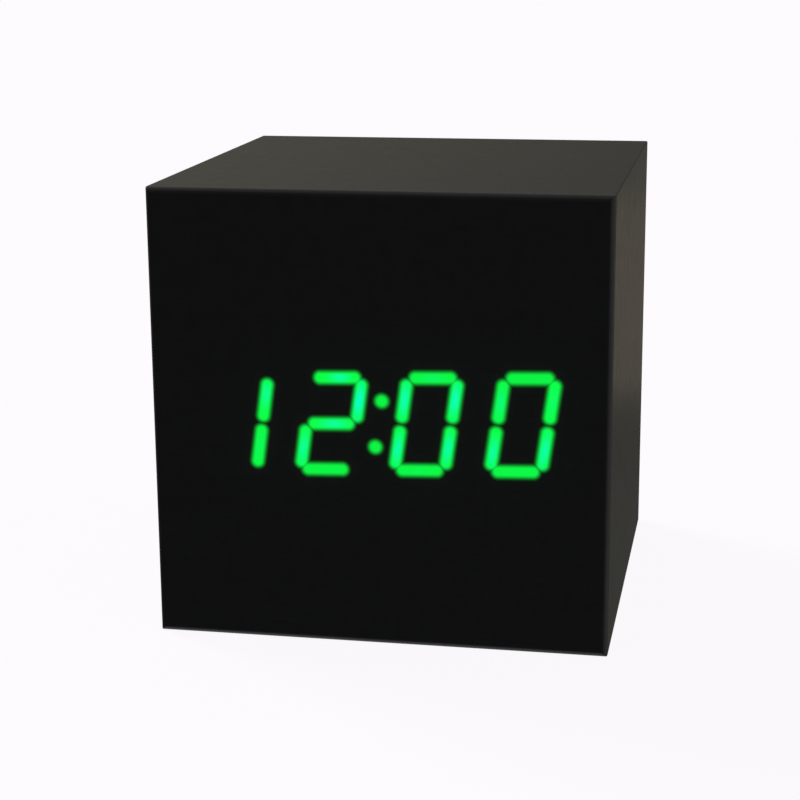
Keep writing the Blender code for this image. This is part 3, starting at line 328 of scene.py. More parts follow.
def lit_time(made, place, display):
    """Light of the lit bars and dots as it reaches the film's face, from each bar's distance."""
    in_mm = InMillimetres(display)
    centre = tuple(centre_of("reflector_block") + Vector(display.offset))
    point = made.node("ShaderNodeVectorRotate", {"rotation_type": "Y_AXIS"},
                      {"Vector": place, "Center": centre, "Angle": display.tilt})
    point = point.vector("SUBTRACT", centre).vector("MULTIPLY", (1 / MM, 0, 1 / MM))

    def distance(middle, along, half):
        rest = point.vector("SUBTRACT", tuple(middle))
        reach = made.node("ShaderNodeClamp", {}, (rest.vector("DOT_PRODUCT", tuple(along)), -half, half))
        spoke = made.node("ShaderNodeVectorMath", {"operation": "SCALE"}, {0: tuple(along), "Scale": reach})
        return rest.vector("SUBTRACT", spoke).vector("LENGTH")

    def larger(first, second):
        return second if first is None else first.math("MAXIMUM", second)

    bars = [(*in_mm.bar(digit, name), in_mm.bar_radius, share)
            for digit, lit in enumerate(LIT_SHARES) for name, share in lit.items()]
    for z in (in_mm.colon_rise, -in_mm.colon_rise):
        dot = Vector((z * math.tan(in_mm.slant), 0, z))
        bars.append((dot, Vector((0, 0, 1)), 0, in_mm.dot_radius, DOT_SHARE))
    nearest = core = heat = None
    for middle, along, half, radius, share in bars:
        gap = distance(middle, along, half)
        light = made.rise(gap, radius - in_mm.edge_soft, radius + in_mm.edge_soft, share, 0.0)
        core = larger(core, light ** EYE_POWER)
        nearest = gap if nearest is None else nearest.math("MINIMUM", gap)
    for digit, name, place_share, length_share, hot in HOT_SHARES:
        middle, along, half = in_mm.bar(digit, name)
        long, wide = half * length_share, in_mm.bar_radius * HOT_WIDTH_SHARE
        rest = point.vector("SUBTRACT", tuple(middle + along * half * place_share))
        reach = rest.vector("DOT_PRODUCT", tuple(along))
        fall = reach * reach * (1 / wide ** 2 - 1 / long ** 2) - rest.vector("DOT_PRODUCT", rest) / wide ** 2
        heat = larger(heat, fall.math("EXPONENT") * hot)
    halo = (nearest * (-MM / display.halo_reach)).math("EXPONENT")
    light = made.mix(heat, colour(display.lit_colour), colour(display.hot_colour))
    light = made.mix(core, scaled(display.lit_colour, 0), light)
    return light.vector("ADD", made.tones(halo, display.halo_colour, 0, 1))


def moulded(name, rgb, roughness, grain):
    """Moulded plastic with slightly uneven gloss and a fine grain, given by its width and depth."""
    made, place = started(name)
    width, depth = grain
    cloud = made.noise(place, 120)
    return made.surface(
        Base_Color=made.tones(cloud, rgb, 0.85, 1.2),
        Roughness=roughness + (cloud - 0.5) * 0.12,
        Normal=made.bump(made.noise(place, 1 / width, roughness=0.6), depth),
    )


def fibreboard(name, rgb, inked_from=None):
    """Pressed fibres; from the given depth on, the ends that show at the back are inked black."""
    made, place = started(name)
    fibres = made.noise(place, (900, 2600, 900), detail=4.0, roughness=0.65, distortion=0.4)
    layers = made.noise(place, (60, 60, 700))
    base = made.mix(layers * 0.4, made.tones(fibres, rgb, 0.6, 1.35), scaled(rgb, 0.8))
    rough = 0.92
    if inked_from is not None:
        ink = made.rise(place.part(1) + fibres * 0.3 * MM, inked_from, inked_from + 0.1 * MM)
        base = made.mix(ink, base, made.mix(fibres, (0.006, 0.006, 0.006, 1), (0.02, 0.019, 0.018, 1)))
        rough = rough - ink * 0.3
    return made.surface(Base_Color=base, Roughness=rough, Normal=made.bump(fibres, 0.05 * MM))


def pine(name, rgb):
    """Planed pine with yearly rings and long pores."""
    made, place = started(name)
    rings = made.node("ShaderNodeTexWave", {"bands_direction": "Z"}, {
        "Vector": place, "Scale": 260.0, "Distortion": 4.0, "Detail": 2.0, "Detail Scale": 1.2}, 1)
    pores = made.noise(place, (3000, 180, 3000), detail=3.0)
    base = made.mix(pores * 0.35, made.tones(rings * 0.7, rgb, 1, 0.6), scaled(rgb, 0.5))
    return made.surface(Base_Color=base, Roughness=0.75, Normal=made.bump(pores, 0.03 * MM))


def metal(name, rgb, roughness, brushed=900):
    """Bare metal with fine scratches, whose number for each metre may differ along X, Y and Z."""
    made, place = started(name)
    scratches = made.noise(place, brushed, detail=3.0, roughness=0.6)
    cloud = made.noise(place, 200)
    return made.surface(
        Base_Color=made.tones(cloud, rgb, 0.86, 1),
        Metallic=1.0,
        Roughness=roughness + scratches * 0.14 + (cloud - 0.5) * 0.08,
        Normal=made.bump(scratches, 0.006 * MM),
    )


def circuit_board(name, rgb):
    """Solder mask over copper tracks at a set pitch, with tinned pads where a patch leaves them bare."""
    made, place = started(name)
    x, z = place.part(0), place.part(2)
    pitch, track, pad, edge = 1.27 * MM, 0.16, 0.2, 0.06

    def lines(value, width):
        return made.rise(abs((value / pitch).math("FRACT") - 0.5), width, width + edge, 1.0, 0.0)

    patch = made.node("ShaderNodeTexVoronoi", {"feature": "F1", "distance": "CHEBYCHEV"},
                      {"Vector": place.vector("MULTIPLY", (1, 0, 1)), "Scale": 170.0}, 1).part(0)
    level = made.rise(patch, 0.45, 0.5)
    tracks = lines(z, track) * level + lines(x, track) * (1 - level)
    pads = lines(z, pad) * lines(x, pad) * made.rise(patch, 0.78, 0.8)
    weave = made.noise(place, 1800)
    return made.surface(
        Base_Color=made.mix(pads, made.tones(tracks, rgb, 1, 1.9), SOLDER),
        Metallic=pads * 0.9,
        Roughness=0.32 + weave * 0.12,
        Normal=made.bump(tracks + pads + weave * 0.2, 0.035 * MM),
    )


def chip_case(node):
    """Moulded epoxy with tinned legs along its two long sides."""
    low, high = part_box(node)
    made, place = started(f"{node}_finish")
    leg_reach, fade = 1.3 * MM, 0.01 * MM
    edge = (high.z - low.z) / 2 - leg_reach
    legs = made.rise(abs(place.part(2) - (high.z + low.z) / 2), edge - fade, edge + fade)
    grit = made.noise(place, 4000)
    epoxy = made.mix(grit, (0.010, 0.010, 0.011, 1), (0.02, 0.02, 0.021, 1))
    return made.surface(Base_Color=made.mix(legs, epoxy, TINNED), Metallic=legs,
                        Roughness=0.5 - legs * 0.2, Normal=made.bump(grit, 0.01 * MM))


def cell_sleeve(name, battery, half_length):
    """A plain sleeve: a dark body, a bright band at the positive end and bare steel at both ends."""
    made, place = started(name)
    band_end, band_fade, bare_fade = half_length - battery.cell_band_length, 0.05 * MM, 0.02 * MM
    band = made.rise(place.part(2), band_end, band_end + band_fade)
    radius = place.vector("MULTIPLY", (1, 1, 0)).vector("LENGTH")
    bare = made.rise(radius, battery.cell_bare - bare_fade, battery.cell_bare + bare_fade, 1.0, 0.0)
    scuffs = made.noise(place, (500, 500, 90), detail=4.0, roughness=0.6)
    skin = made.mix(band, colour(battery.cell_colour), colour(battery.cell_band))
    return made.surface(
        Base_Color=made.mix(bare, skin, CELL_STEEL),
        Metallic=bare.math("MAXIMUM", band * 0.7),
        Roughness=0.24 + scuffs * 0.16,
        Normal=made.bump(scuffs, 0.01 * MM),
    )


def plain_coat(name, rgb, roughness, emission=None):
    """A smooth coat such as resin or enamel, with a faint change of tone; it may glow at the front."""
    made, place = started(name)
    cloud = made.noise(place, 400)
    sockets = {
        "Base_Color": made.tones(cloud, rgb, 0.8, 1.15),
        "Roughness": roughness + (cloud - 0.5) * 0.1,
        "Normal": made.bump(cloud, 0.01 * MM),
    }
    if emission:
        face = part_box("reflector_block")[0].y
        front = made.rise(place.part(1), face, face + 0.5 * MM, 1.0, 0.0)
        sockets.update(Emission_Color=made.tones(front, emission, 0, 1), Emission_Strength=1.0)
    return made.surface(**sockets)


def ribbon_jacket(name, rgb, wire_pitch):
    """Grey flat cable with a groove between its wires, each groove darkened with painted shade."""
    made, place = started(name)
    lines = made.rise(abs((place.part(0) / wire_pitch).math("FRACT") - 0.5), 0.36, 0.5)
    # The grooves' colour falls to 0.45 of the grey: painted shade in each groove; the bump is the real groove.
    return made.surface(Base_Color=made.tones(lines, rgb, 1, 0.45), Roughness=0.45,
                        Normal=made.bump(1 - lines, 0.12 * MM))


# Shapes

def centre_of(node):
    low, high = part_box(node)
    return (low + high) / 2


def on_axis(node, y):
    """The point at a depth y on the line through a node's middle."""
    x, _, z = centre_of(node)
    return x, y, z


def standing(foot, way=OUTWARD):
    """The place of a shape whose foot is at a point and whose Z points along a way."""
    return Matrix.Translation(foot) @ Vector(way).to_track_quat("Z", "Y").to_matrix().to_4x4()


def circle(radius, sides, height=0):
    angles = (2 * math.pi * side / sides for side in range(sides))
    return [(radius * math.cos(angle), radius * math.sin(angle), height) for angle in angles]


def block(low, high):
    shape = bmesh.new()
    low, high = Vector(low), Vector(high)
    bmesh.ops.create_cube(shape, size=1)
    bmesh.ops.scale(shape, vec=high - low, verts=shape.verts)
    bmesh.ops.translate(shape, vec=(low + high) / 2, verts=shape.verts)
    return shape


def rod(radius, start, end):
    shape = bmesh.new()
    start, end = Vector(start), Vector(end)
    bmesh.ops.create_cone(shape, cap_ends=True, segments=ROUND, radius1=radius, radius2=radius,
                          depth=(end - start).length)
    bmesh.ops.transform(shape, matrix=standing((start + end) / 2, end - start), verts=shape.verts)
    return shape


def lofted(rings, looped=False):
    """Skin rings of points into one closed shape: capped at its ends, or looped back to its first ring."""
    shape = bmesh.new()
    made = [[shape.verts.new(point) for point in ring] for ring in rings]
    pairs = list(zip(made, made[1:])) + ([(made[-1], made[0])] if looped else [])
    for near, far in pairs:
        count = max(len(near), len(far))
        for i in range(count):
            j = (i + 1) % count
            corners = [near[i % len(near)], near[j % len(near)], far[j % len(far)], far[i % len(far)]]
            corners = list(dict.fromkeys(corners))
            if len(corners) > 2:
                shape.faces.new(corners)
    if not looped:
        for ring in (made[0], made[-1]):
            if len(ring) > 2:
                shape.faces.new(ring)
    bmesh.ops.recalc_face_normals(shape, faces=shape.faces)
    return shape


def prism(outline, low_y, high_y):
    """A plate facing Y with an outline of (x, z) points."""
    return lofted([[(x, y, z) for x, z in outline] for y in (low_y, high_y)])


def turned(profile, looped=False, sides=ROUND):
    """A shape turned about Z from (radius, height) points."""
    return lofted([circle(radius, sides, height) if radius else [(0, 0, height)]
                   for radius, height in profile], looped)


def fillet(centre, radius, start, end, steps=ARC_STEPS):
    """Points of an arc about a centre, from one angle to another in degrees, for a profile."""
    points = []
    for step in range(steps + 1):
        angle = math.radians(start + (end - start) * step / steps)
        points.append((centre[0] + radius * math.cos(angle), centre[1] + radius * math.sin(angle)))
    return points


def rounded_outline(half_x, low_z, high_z, radius, y):
    """A ring of points round an upright rectangle with rounded corners."""
    points = []
    corners = ((half_x, high_z), (-half_x, high_z), (-half_x, low_z), (half_x, low_z))
    for quarter, (x, z) in enumerate(corners):
        centre = (math.copysign(abs(x) - radius, x), z - radius if z == high_z else z + radius)
        points += [(px, y, pz) for px, pz in fillet(centre, radius, 90 * quarter, 90 * quarter + 90)]
    return points


def tube(points, radius, sides):
    """A round wire through points."""
    rings = []
    for index, point in enumerate(points):
        ahead = points[min(index + 1, len(points) - 1)] - points[max(index - 1, 0)]
        turn = ahead.to_track_quat("Z", "X").to_matrix()
        rings.append([point + turn @ Vector(spoke) for spoke in circle(radius, sides)])
    return lofted(rings)


def cleaned(shape):
    """Weld a shape's doubled points and merge its flat faces."""
    bmesh.ops.remove_doubles(shape, verts=shape.verts, dist=WELD)
    bmesh.ops.dissolve_limit(shape, angle_limit=FLAT_ANGLE, verts=shape.verts, edges=shape.edges)
    return shape


def cad_copy(node):
    """A node's mesh as one welded shape, ready to be refined in a new piece."""
    shape = bmesh.new()
    shape.from_mesh(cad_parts[node].data)
    return cleaned(shape)


def put(name, shape):
    """Turn a shape into an object of the scene."""
    mesh = bpy.data.meshes.new(name)
    shape.to_mesh(mesh)
    shape.free()
    made = bpy.data.objects.new(name, mesh)
    bpy.context.scene.collection.objects.link(made)
    return made


def carved(body, cutters):
    """The body with some shapes cut out of it."""
    target = put("carving", body)
    helpers = []
    for shape in cutters:
        helpers.append(put("carving_tool", shape))
        step = target.modifiers.new("DIFFERENCE", "BOOLEAN")
        step.operation = "DIFFERENCE"
        step.solver = "EXACT"
        step.object = helpers[-1]
    bpy.context.view_layer.update()
    graph = bpy.context.evaluated_depsgraph_get()
    mesh = bpy.data.meshes.new_from_object(target.evaluated_get(graph))
    made = bmesh.new()
    made.from_mesh(mesh)
    bpy.data.meshes.remove(mesh)
    for item in (target, *helpers):
        used = item.data
        bpy.data.objects.remove(item, do_unlink=True)
        bpy.data.meshes.remove(used)
    return cleaned(made)


def soften(shape, width, steps=BEVEL_STEPS, clamp=True):
    """Round every sharp edge of a shape; without the clamp, one short edge doesn't narrow all the others."""
    bmesh.ops.remove_doubles(shape, verts=shape.verts, dist=TINY)
    edges = [edge for edge in shape.edges
             if len(edge.link_faces) == 2 and edge.calc_face_angle() > SHARP_ANGLE]
    bmesh.ops.bevel(shape, geom=edges, offset=width, offset_type="OFFSET", segments=steps, profile=0.5,
                    affect="EDGES", clamp_overlap=clamp)
    bmesh.ops.remove_doubles(shape, verts=shape.verts, dist=WELD)
    return shape


def piece(name, shape, finishes, replaces=(), body="clock", place=None):
    """Make a piece of the clock from a shape, hang it on its body's empty and hide the CAD nodes it stands
    for.
    """
    made = put(name, shape)
    mesh = made.data
    mesh.shade_smooth()
    mesh.set_sharp_from_angle(angle=SHARP_ANGLE)
    if place:
        made.matrix_world = place
    for finish in finishes if isinstance(finishes, (list, tuple)) else [finishes]:
        mesh.materials.append(finish)
    normals = made.modifiers.new("even shading", "WEIGHTED_NORMAL")
    normals.keep_sharp = True
    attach(made, body)
    if replaces:
        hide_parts(*replaces)


def paint(finish, *nodes):
    """Give CAD nodes that keep their shape a finish of their own."""
    for node in nodes:
        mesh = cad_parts[node].data
        mesh.materials.clear()
        mesh.materials.append(finish)


# Sizes and colours that a user would change

def a_share(name, description, default, most=1):
    return FloatProperty(name=name, description=description, default=default, min=0, max=most)


def a_length(name, description, default, **limits):
    """A length whose default and limits are given in millimetres."""
    limits = {key: limit * MM for key, limit in limits.items()}
    return FloatProperty(name=name, description=description, default=default * MM, subtype="DISTANCE",
                         unit="LENGTH", **limits)


def an_angle(name, description, degrees):
    return FloatProperty(name=name, description=description, default=math.radians(degrees),
                         subtype="ANGLE", unit="ROTATION")


def a_colour(name, description, default):
    return FloatVectorProperty(name=name, description=description, default=default, subtype="COLOR",
                               min=0, max=1)


def a_place(name, description, default):
    """A point or a shift whose default is given in millimetres."""
    return FloatVectorProperty(name=name, description=description, default=[part * MM for part in default],
                               subtype="TRANSLATION", unit="LENGTH")


class FilmSettings(bpy.types.PropertyGroup):
    film_colour: a_colour("Film colour", "Colour of the wood-grain film", (0.0142, 0.0142, 0.0143))
    film_roughness: a_share("Film roughness", "Roughness of the film's satin face", 0.24)
    film_gloss: a_share("Film gloss", "How strongly the film reflects", 0.5)
    edge_radius: a_length("Edge radius", "Rounding of the front's edge", 0.95, min=0.5, max=1)
    fold_radius: a_length("Fold radius", "Rounding where the film folds round the case", 0.22, min=0.05)
    pore_length: a_length("Pore length", "Length of the pressed pores", 9)
    pore_width: a_length("Pore width", "Width of the pressed pores", 0.35)
    pore_depth: a_length("Pore depth", "Depth of the pressed pores", 0.003)
    mottle_size: a_length("Mottle size", "Width of the film's cloudy patches", 2.2)
    figure_length: a_length("Figure length", "Length of the grain's broad bands", 45)
    figure_width: a_length("Figure width", "Width of the grain's broad bands", 3.2)


class DisplaySettings(bpy.types.PropertyGroup):
    lit_colour: a_colour("Lit colour", "Light of a lit bar", (0.0, 1.0, 0.06))
    hot_colour: a_colour("Hot colour", "Light in the middle of the brightest bars", (0.0, 1.0, 0.6))
    halo_colour: a_colour("Halo colour", "Stray light in the film beside a lit bar", (0.0, 0.006, 0.001))
    halo_reach: a_length("Halo reach", "Distance in which the stray light fades", 1.1)
    pitch: a_length("Digit pitch", "From one digit to the next", 12.82)
    spread: a_length("Bar spread", "Between a digit's two upright bars", 6.76)
    rise: a_length("Bar rise", "Between a digit's level bars", 6.29)
    upright_length: a_length("Upright length", "Length of a lit upright bar", 6.15)
    level_length: a_length("Level length", "Length of a lit level bar", 6.5)
    bar_radius: a_length("Bar radius", "Half the width of a lit bar", 0.93)
    edge_soft: a_length("Edge softness", "Half the width in which a bar's edge fades", 0.53)
    colon_rise: a_length("Colon rise", "From the middle to each dot", 3.13)
    dot_radius: a_length("Dot radius", "Half the width of a lit dot", 1.0)
    slant: an_angle("Slant", "Lean of the digits", 10)
    tilt: an_angle("Tilt", "Turn of the whole display in the case", 1.8)
    offset: a_place("Offset", "Shift of the lit time from the module's middle", (0.22, 0.0, 0.06))


class RearSettings(bpy.types.PropertyGroup):
    plastic_colour: a_colour("Plastic colour", "Colour of the moulded back", (0.02, 0.02, 0.0205))
    button_colour: a_colour("Button colour", "Colour of the buttons", (0.034, 0.034, 0.036))
    edge_width: a_length("Edge rounding", "Rounding of the moulded edges", 0.16)
    hole_ease: a_length("Hole ease", "How much wider the refined holes are", 0.04)
    mark_colour: a_colour("Mark colour", "Ink on the raised button marks", (0.45, 0.45, 0.44))
    mark_size: a_length("Mark size", "Half the width of the raised button marks", 0.8)
    mark_height: a_length("Mark height", "How far marks and ribs stand up", 0.2)
    door_thickness: a_length("Door thickness", "Thickness of the battery door's plate", 1.6)
    rib_count: IntProperty(name="Grip ribs", description="Ribs on the battery door", default=5, min=1, max=9)


class BatterySettings(bpy.types.PropertyGroup):
    cell_colour: a_colour("Cell colour", "Colour of a cell's sleeve", (0.02, 0.09, 0.055))
    cell_band: a_colour("Band colour", "Colour of the band at the positive end", (0.42, 0.43, 0.42))
    cell_band_length: a_length("Band length", "From the positive tip to the band's end", 7)
    cell_bare: a_length("Bare radius", "Radius inside which a cell's end is bare steel", 4.5)
    spring_turns: IntProperty(name="Spring turns", description="Turns of a battery spring", default=3,
                              min=2, max=5)


class StageSettings(bpy.types.PropertyGroup):
    camera_place: a_place("Camera place", "Where the camera stands", (49.26, -273.1, 96.1))
    camera_target: a_place("Camera target", "The point the camera looks at", (-2.77, 0.0, 26.58))
    camera_roll: an_angle("Camera roll", "Turn about the line of sight", -0.4)
    camera_lens: FloatProperty(name="Lens", description="Focal length in millimetres", default=86.8)
    floor_colour: a_colour("Floor colour", "Colour of the floor and backdrop", (0.974, 0.956, 0.983))
    room_light: a_share("Room light", "Strength of the room's light", 1.0, most=5)
    left_light: a_share("Left light", "How much brighter the room's left side is", 1.5, most=5)


SETTINGS = {"clock_film": FilmSettings, "clock_display": DisplaySettings, "clock_rear": RearSettings,
            "clock_battery": BatterySettings, "clock_stage": StageSettings}


# Operators, one for each piece or group of pieces and one for the stage

class CLOCK_OT_case(bpy.types.Operator):
    """Build the film round the case and on its front, where the time shines through"""

    bl_idname = "clock.case"
    bl_label = "Film-covered case"

    def execute(self, context):
        film = context.scene.clock_film
        radius = film.edge_radius
        front, seam, rear = FRONT_LOW.y, WRAP_LOW.y, WRAP_HIGH.y
        half_x, high_z = FRONT_HIGH.x, FRONT_HIGH.z
        thick = seam - front
        seam_angle = math.degrees(math.acos(1 - thick / radius))

        def ring(inset, y):
            corner = max(film.fold_radius - inset, TINY)
            return rounded_outline(half_x - inset, inset, high_z - inset, corner, y)

        def edge_rings(start, end):
            """Rings over the front's rounded edge, between two angles from the front face, in degrees."""
            arc = fillet((0, 0), radius, 180 + start, 180 + end)
            return [ring(radius + x, front + radius + y) for y, x in arc]

        front_finish = wood_film("front_film_finish", film, 0, context.scene.clock_display)
        piece("front_skin", lofted(edge_rings(0, seam_angle)), front_finish, ["front_film"])

        edge = thick / 3
        rings = edge_rings(seam_angle, 90) + [ring(0, rear - edge)]
        rings += [ring(edge * (1 - math.cos(angle)), rear - edge * (1 - math.sin(angle)))
                  for angle in map(math.radians, (30, 60, 90))]
        rings += [ring(thick, rear), ring(thick, seam)]
        shape = lofted(rings, looped=True)
        for face in shape.faces:
            face.material_index = int(abs(face.normal.x) > abs(face.normal.z))
        finishes = [wood_film("level_film_finish", film, 0), wood_film("upright_film_finish", film, 2)]
        piece("case_skin", shape, finishes, ["wrap_film", "base_film"])
        return {"FINISHED"}


class CLOCK_OT_boards(bpy.types.Operator):
    """Finish the fibreboards and blocks under the film"""

    bl_idname = "clock.boards"
    bl_label = "Boards and blocks"

    def execute(self, context):
        inked_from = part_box("rear_cover")[0].y
        paint(fibreboard("fibreboard_finish", (0.33, 0.22, 0.13), inked_from),
              "top_board", "bottom_board", "left_board", "right_board")
        paint(fibreboard("black_fibreboard_finish", (0.016, 0.015, 0.015)), "front_board")
        paint(pine("pine_finish", (0.6, 0.42, 0.22)), "corner_block_left", "corner_block_right")
        return {"FINISHED"}


class CLOCK_OT_rear_cover(bpy.types.Operator):
    """Build the moulded rear cover with its holes, and the raised marks over the buttons"""

    bl_idname = "clock.rear_cover"
    bl_label = "Rear cover"

    def execute(self, context):
        rear = context.scene.clock_rear
        plastic = moulded("cover_plastic_finish", rear.plastic_colour, 0.42, COVER_GRAIN)
        holes = [(f"{name}_button", BUTTON_HOLE) for name in BUTTONS]
        holes += [("power_jack", INLET_HOLE), ("microphone", MICROPHONE_HOLE)]
        cutters = [self.hole(node, radius, REAR_FACE - HOLE_DEPTH, rear) for node, radius in holes]
        for node in ("cover_screw_left", "cover_screw_right"):
            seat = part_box(node)[1].y - SCREW_HOLE_DEPTH
            cutters.append(self.hole(node, SCREW_HOLE, seat, rear))
        shape = soften(carved(cad_copy("rear_cover"), cutters), rear.edge_width, clamp=False)
        piece("rear_cover_shell", shape, plastic, ["rear_cover"])
        self.marks(rear, plain_coat("mark_ink_finish", rear.mark_colour, 0.5))
        return {"FINISHED"}

    @staticmethod
    def hole(node, radius, start, rear):
        """A cutter round a node's middle, from a depth to past the cover's face."""
        return rod(radius + rear.hole_ease, on_axis(node, start), on_axis(node, REAR_FACE + PAST_FACE))

    @staticmethod
    def marks(rear, ink):
        """A raised ring over the set button and a triangle over each other one, in pale ink."""
        size, foot, top = rear.mark_size, REAR_FACE - rear.mark_size / 4, REAR_FACE + rear.mark_height
        ring, bore, flat, tip = size * 0.9, size * 0.45, size * 0.7, size * 0.8
        for name in BUTTONS:
            low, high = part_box(f"{name}_button")
            x, z = (low.x + high.x) / 2, high.z + size
            if name == "set":
                shape = carved(rod(ring, (x, foot, z), (x, top, z)),
                               [rod(bore, (x, REAR_FACE - size, z), (x, top + size, z))])
            else:
                up = 1 if name == "up" else -1
                outline = [(x - size, z - up * flat), (x + size, z - up * flat), (x, z + up * tip)]
                shape = prism(outline, foot, top)
            piece(f"{name}_mark", soften(shape, rear.mark_height / 3), ink)


class CLOCK_OT_battery_door(bpy.types.Operator):
    """Build the battery door with its tongue and grip ribs"""

    bl_idname = "clock.battery_door"
    bl_label = "Battery door"

    def execute(self, context):
        rear = context.scene.clock_rear
        plastic = moulded("door_plastic_finish", rear.plastic_colour, 0.4, COVER_GRAIN)
        panel, pins = self.inner_marks(rear)
        shape = carved(soften(carved(cad_copy("battery_door"), [panel]), rear.edge_width), pins)
        piece("battery_door_shell", shape, plastic, ["battery_door"], "door")
        pitch, half_rib, root, half_x, narrowing = 1.5 * MM, 0.3 * MM, 0.3 * MM, 3.6 * MM, 0.12
        top_z = DOOR_HIGH.z - 3.4 * MM
        for number in range(rear.rib_count):
            outline = self.stadium(half_x * (1 - narrowing * number), half_rib, top_z - number * pitch)
            shape = prism(outline, REAR_FACE - root, REAR_FACE + rear.mark_height)
            piece(f"door_rib_{number + 1}", soften(shape, rear.mark_height / 2), plastic,
                  body="door")
        return {"FINISHED"}

    @staticmethod
    def inner_marks(rear):
        """Cutters for the shallow panel inside the door and for the marks of ejector pins in it."""
        inner = REAR_FACE - rear.door_thickness
        side, foot, head = 3 * MM, 5 * MM, 9 * MM
        half_x, low_z, high_z = DOOR_HIGH.x - side, DOOR_LOW.z + foot, DOOR_HIGH.z - head
        panel, pin, pin_radius, from_edge = 0.3 * MM, 0.12 * MM, 1.5 * MM, 4 * MM
        pins = [rod(pin_radius, (x, inner, z), (x, inner + panel + pin, z))
                for x in (-half_x + from_edge, 0, half_x - from_edge)
                for z in (low_z + from_edge, high_z - from_edge)]
        return block((-half_x, inner - MM, low_z), (half_x, inner + panel, high_z)), pins

    @staticmethod
    def stadium(half_x, radius, z):
        middle = half_x - radius
        return fillet((middle, z), radius, -90, 90) + fillet((-middle, z), radius, 90, 270)


class CLOCK_OT_buttons(bpy.types.Operator):
    """Build the three dished button caps, and finish their plungers and switches"""

    bl_idname = "clock.buttons"
    bl_label = "Buttons"

    def execute(self, context):
        rear = context.scene.clock_rear
        satin = moulded("button_plastic_finish", rear.button_colour, 0.36, (0.3 * MM, 0.004 * MM))
        radius, round_over, dish = 2.5 * MM, 0.45 * MM, 0.16 * MM
        flange_radius, flange, chamfer = 3.2 * MM, 0.9 * MM, 0.1 * MM
        for name in BUTTONS:
            node = f"{name}_button"
            low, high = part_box(node)
            height = high.y - low.y
            profile = [(0, height - dish)]
            profile += [(radius * share, height - dish * (1 - share ** 2)) for share in (0.25, 0.5, 0.7)]
            profile += fillet((radius - round_over, height - round_over), round_over, 90, 0)
            profile += [(radius, flange), (flange_radius - chamfer, flange),
                        (flange_radius, flange - chamfer), (flange_radius, 0), (0, 0)]
            piece(f"{node}_cap", turned(profile), satin, [node], f"{node}_body",
                  standing(on_axis(node, low.y)))
        paint(satin, "set_plunger", "up_plunger", "down_plunger")
        paint(moulded("switch_plastic_finish", (0.09, 0.09, 0.095), 0.45, SMOOTH_GRAIN),
              "set_switch", "up_switch", "down_switch")
        return {"FINISHED"}


class CLOCK_OT_power_inlet(bpy.types.Operator):
    """Build the power inlet with its sleeve and pin"""

    bl_idname = "clock.power_inlet"
    bl_label = "Power inlet"

    def execute(self, context):
        rear = context.scene.clock_rear
        plastic = moulded("inlet_plastic_finish", scaled(rear.plastic_colour, 0.8)[:3], 0.35, SMOOTH_GRAIN)
        nickel = metal("inlet_nickel_finish", (0.72, 0.69, 0.62), 0.16)
        jack, pin = "power_jack", "power_jack_pin"
        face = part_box(jack)[1].y
        bore, depth, wall, lip = 1.8 * MM, 4.8 * MM, 0.15 * MM, 0.08 * MM
        cutter = rod(bore + rear.hole_ease, on_axis(jack, face - depth), on_axis(jack, face + PAST_FACE))
        shape = soften(carved(cad_copy(jack), [cutter]), rear.edge_width)
        piece("inlet_body", shape, plastic, [jack])

        profile = [(bore, 0), (bore, depth - lip), (bore - lip, depth), (bore - wall + lip / 2, depth),
                   (bore - wall, depth - lip), (bore - wall, 0)]
        place = standing(on_axis(jack, face - depth))
        piece("inlet_sleeve", turned(profile, looped=True), nickel, place=place)

        low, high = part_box(pin)
        radius, reach = (high.x - low.x) / 2, high.y - low.y
        profile = [(0, 0), (radius, 0), (radius, reach - radius)]
        profile += fillet((0, reach - radius), radius, 0, 90)[1:-1] + [(0, reach)]
        place = standing(on_axis(jack, low.y))
        piece("inlet_pin", turned(profile, sides=32), nickel, [pin], place=place)
        return {"FINISHED"}


class CLOCK_OT_screws(bpy.types.Operator):
    """Build the two cover screws with domed heads and cross recesses, and finish the small ones inside"""

    bl_idname = "clock.screws"
    bl_label = "Screws"

    def execute(self, context):
        steel = metal("zinc_finish", (0.56, 0.56, 0.58), 0.3, (2500, 2500, 400))
        head, radius, shank, rim, edge = 1.2 * MM, 1.9 * MM, 1.0 * MM, 0.25 * MM, 0.05 * MM
        dome_shares = ((0, 1), (0.45, 0.97), (0.7, 0.86))
        slot, reach, depth = 0.3 * MM, 1.1 * MM, 0.75 * MM
        for node, turn in (("cover_screw_left", 24), ("cover_screw_right", -37)):
            low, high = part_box(node)
            seat = high.y - head
            profile = [(radius * out, head * up) for out, up in dome_shares]
            profile += fillet((radius - rim, 2 * rim), rim, 60, 0, 4)
            profile += [(radius, 0), (shank, 0), (shank, shank - (seat - low.y)), (0, low.y - seat)]
            arms = [block((-x, -y, head - depth), (x, y, head + MM))
                    for x, y in ((reach, slot), (slot, reach))]
            shape = soften(carved(turned(profile), arms), edge, 2)
            place = standing(on_axis(node, seat)) @ Matrix.Rotation(math.radians(turn), 4, "Z")
            piece(f"{node}_head", shape, steel, [node], place=place)
        paint(steel, "control_screw_left", "control_screw_right",
              *(f"display_screw_{number}" for number in (1, 2, 3, 4)))
        return {"FINISHED"}


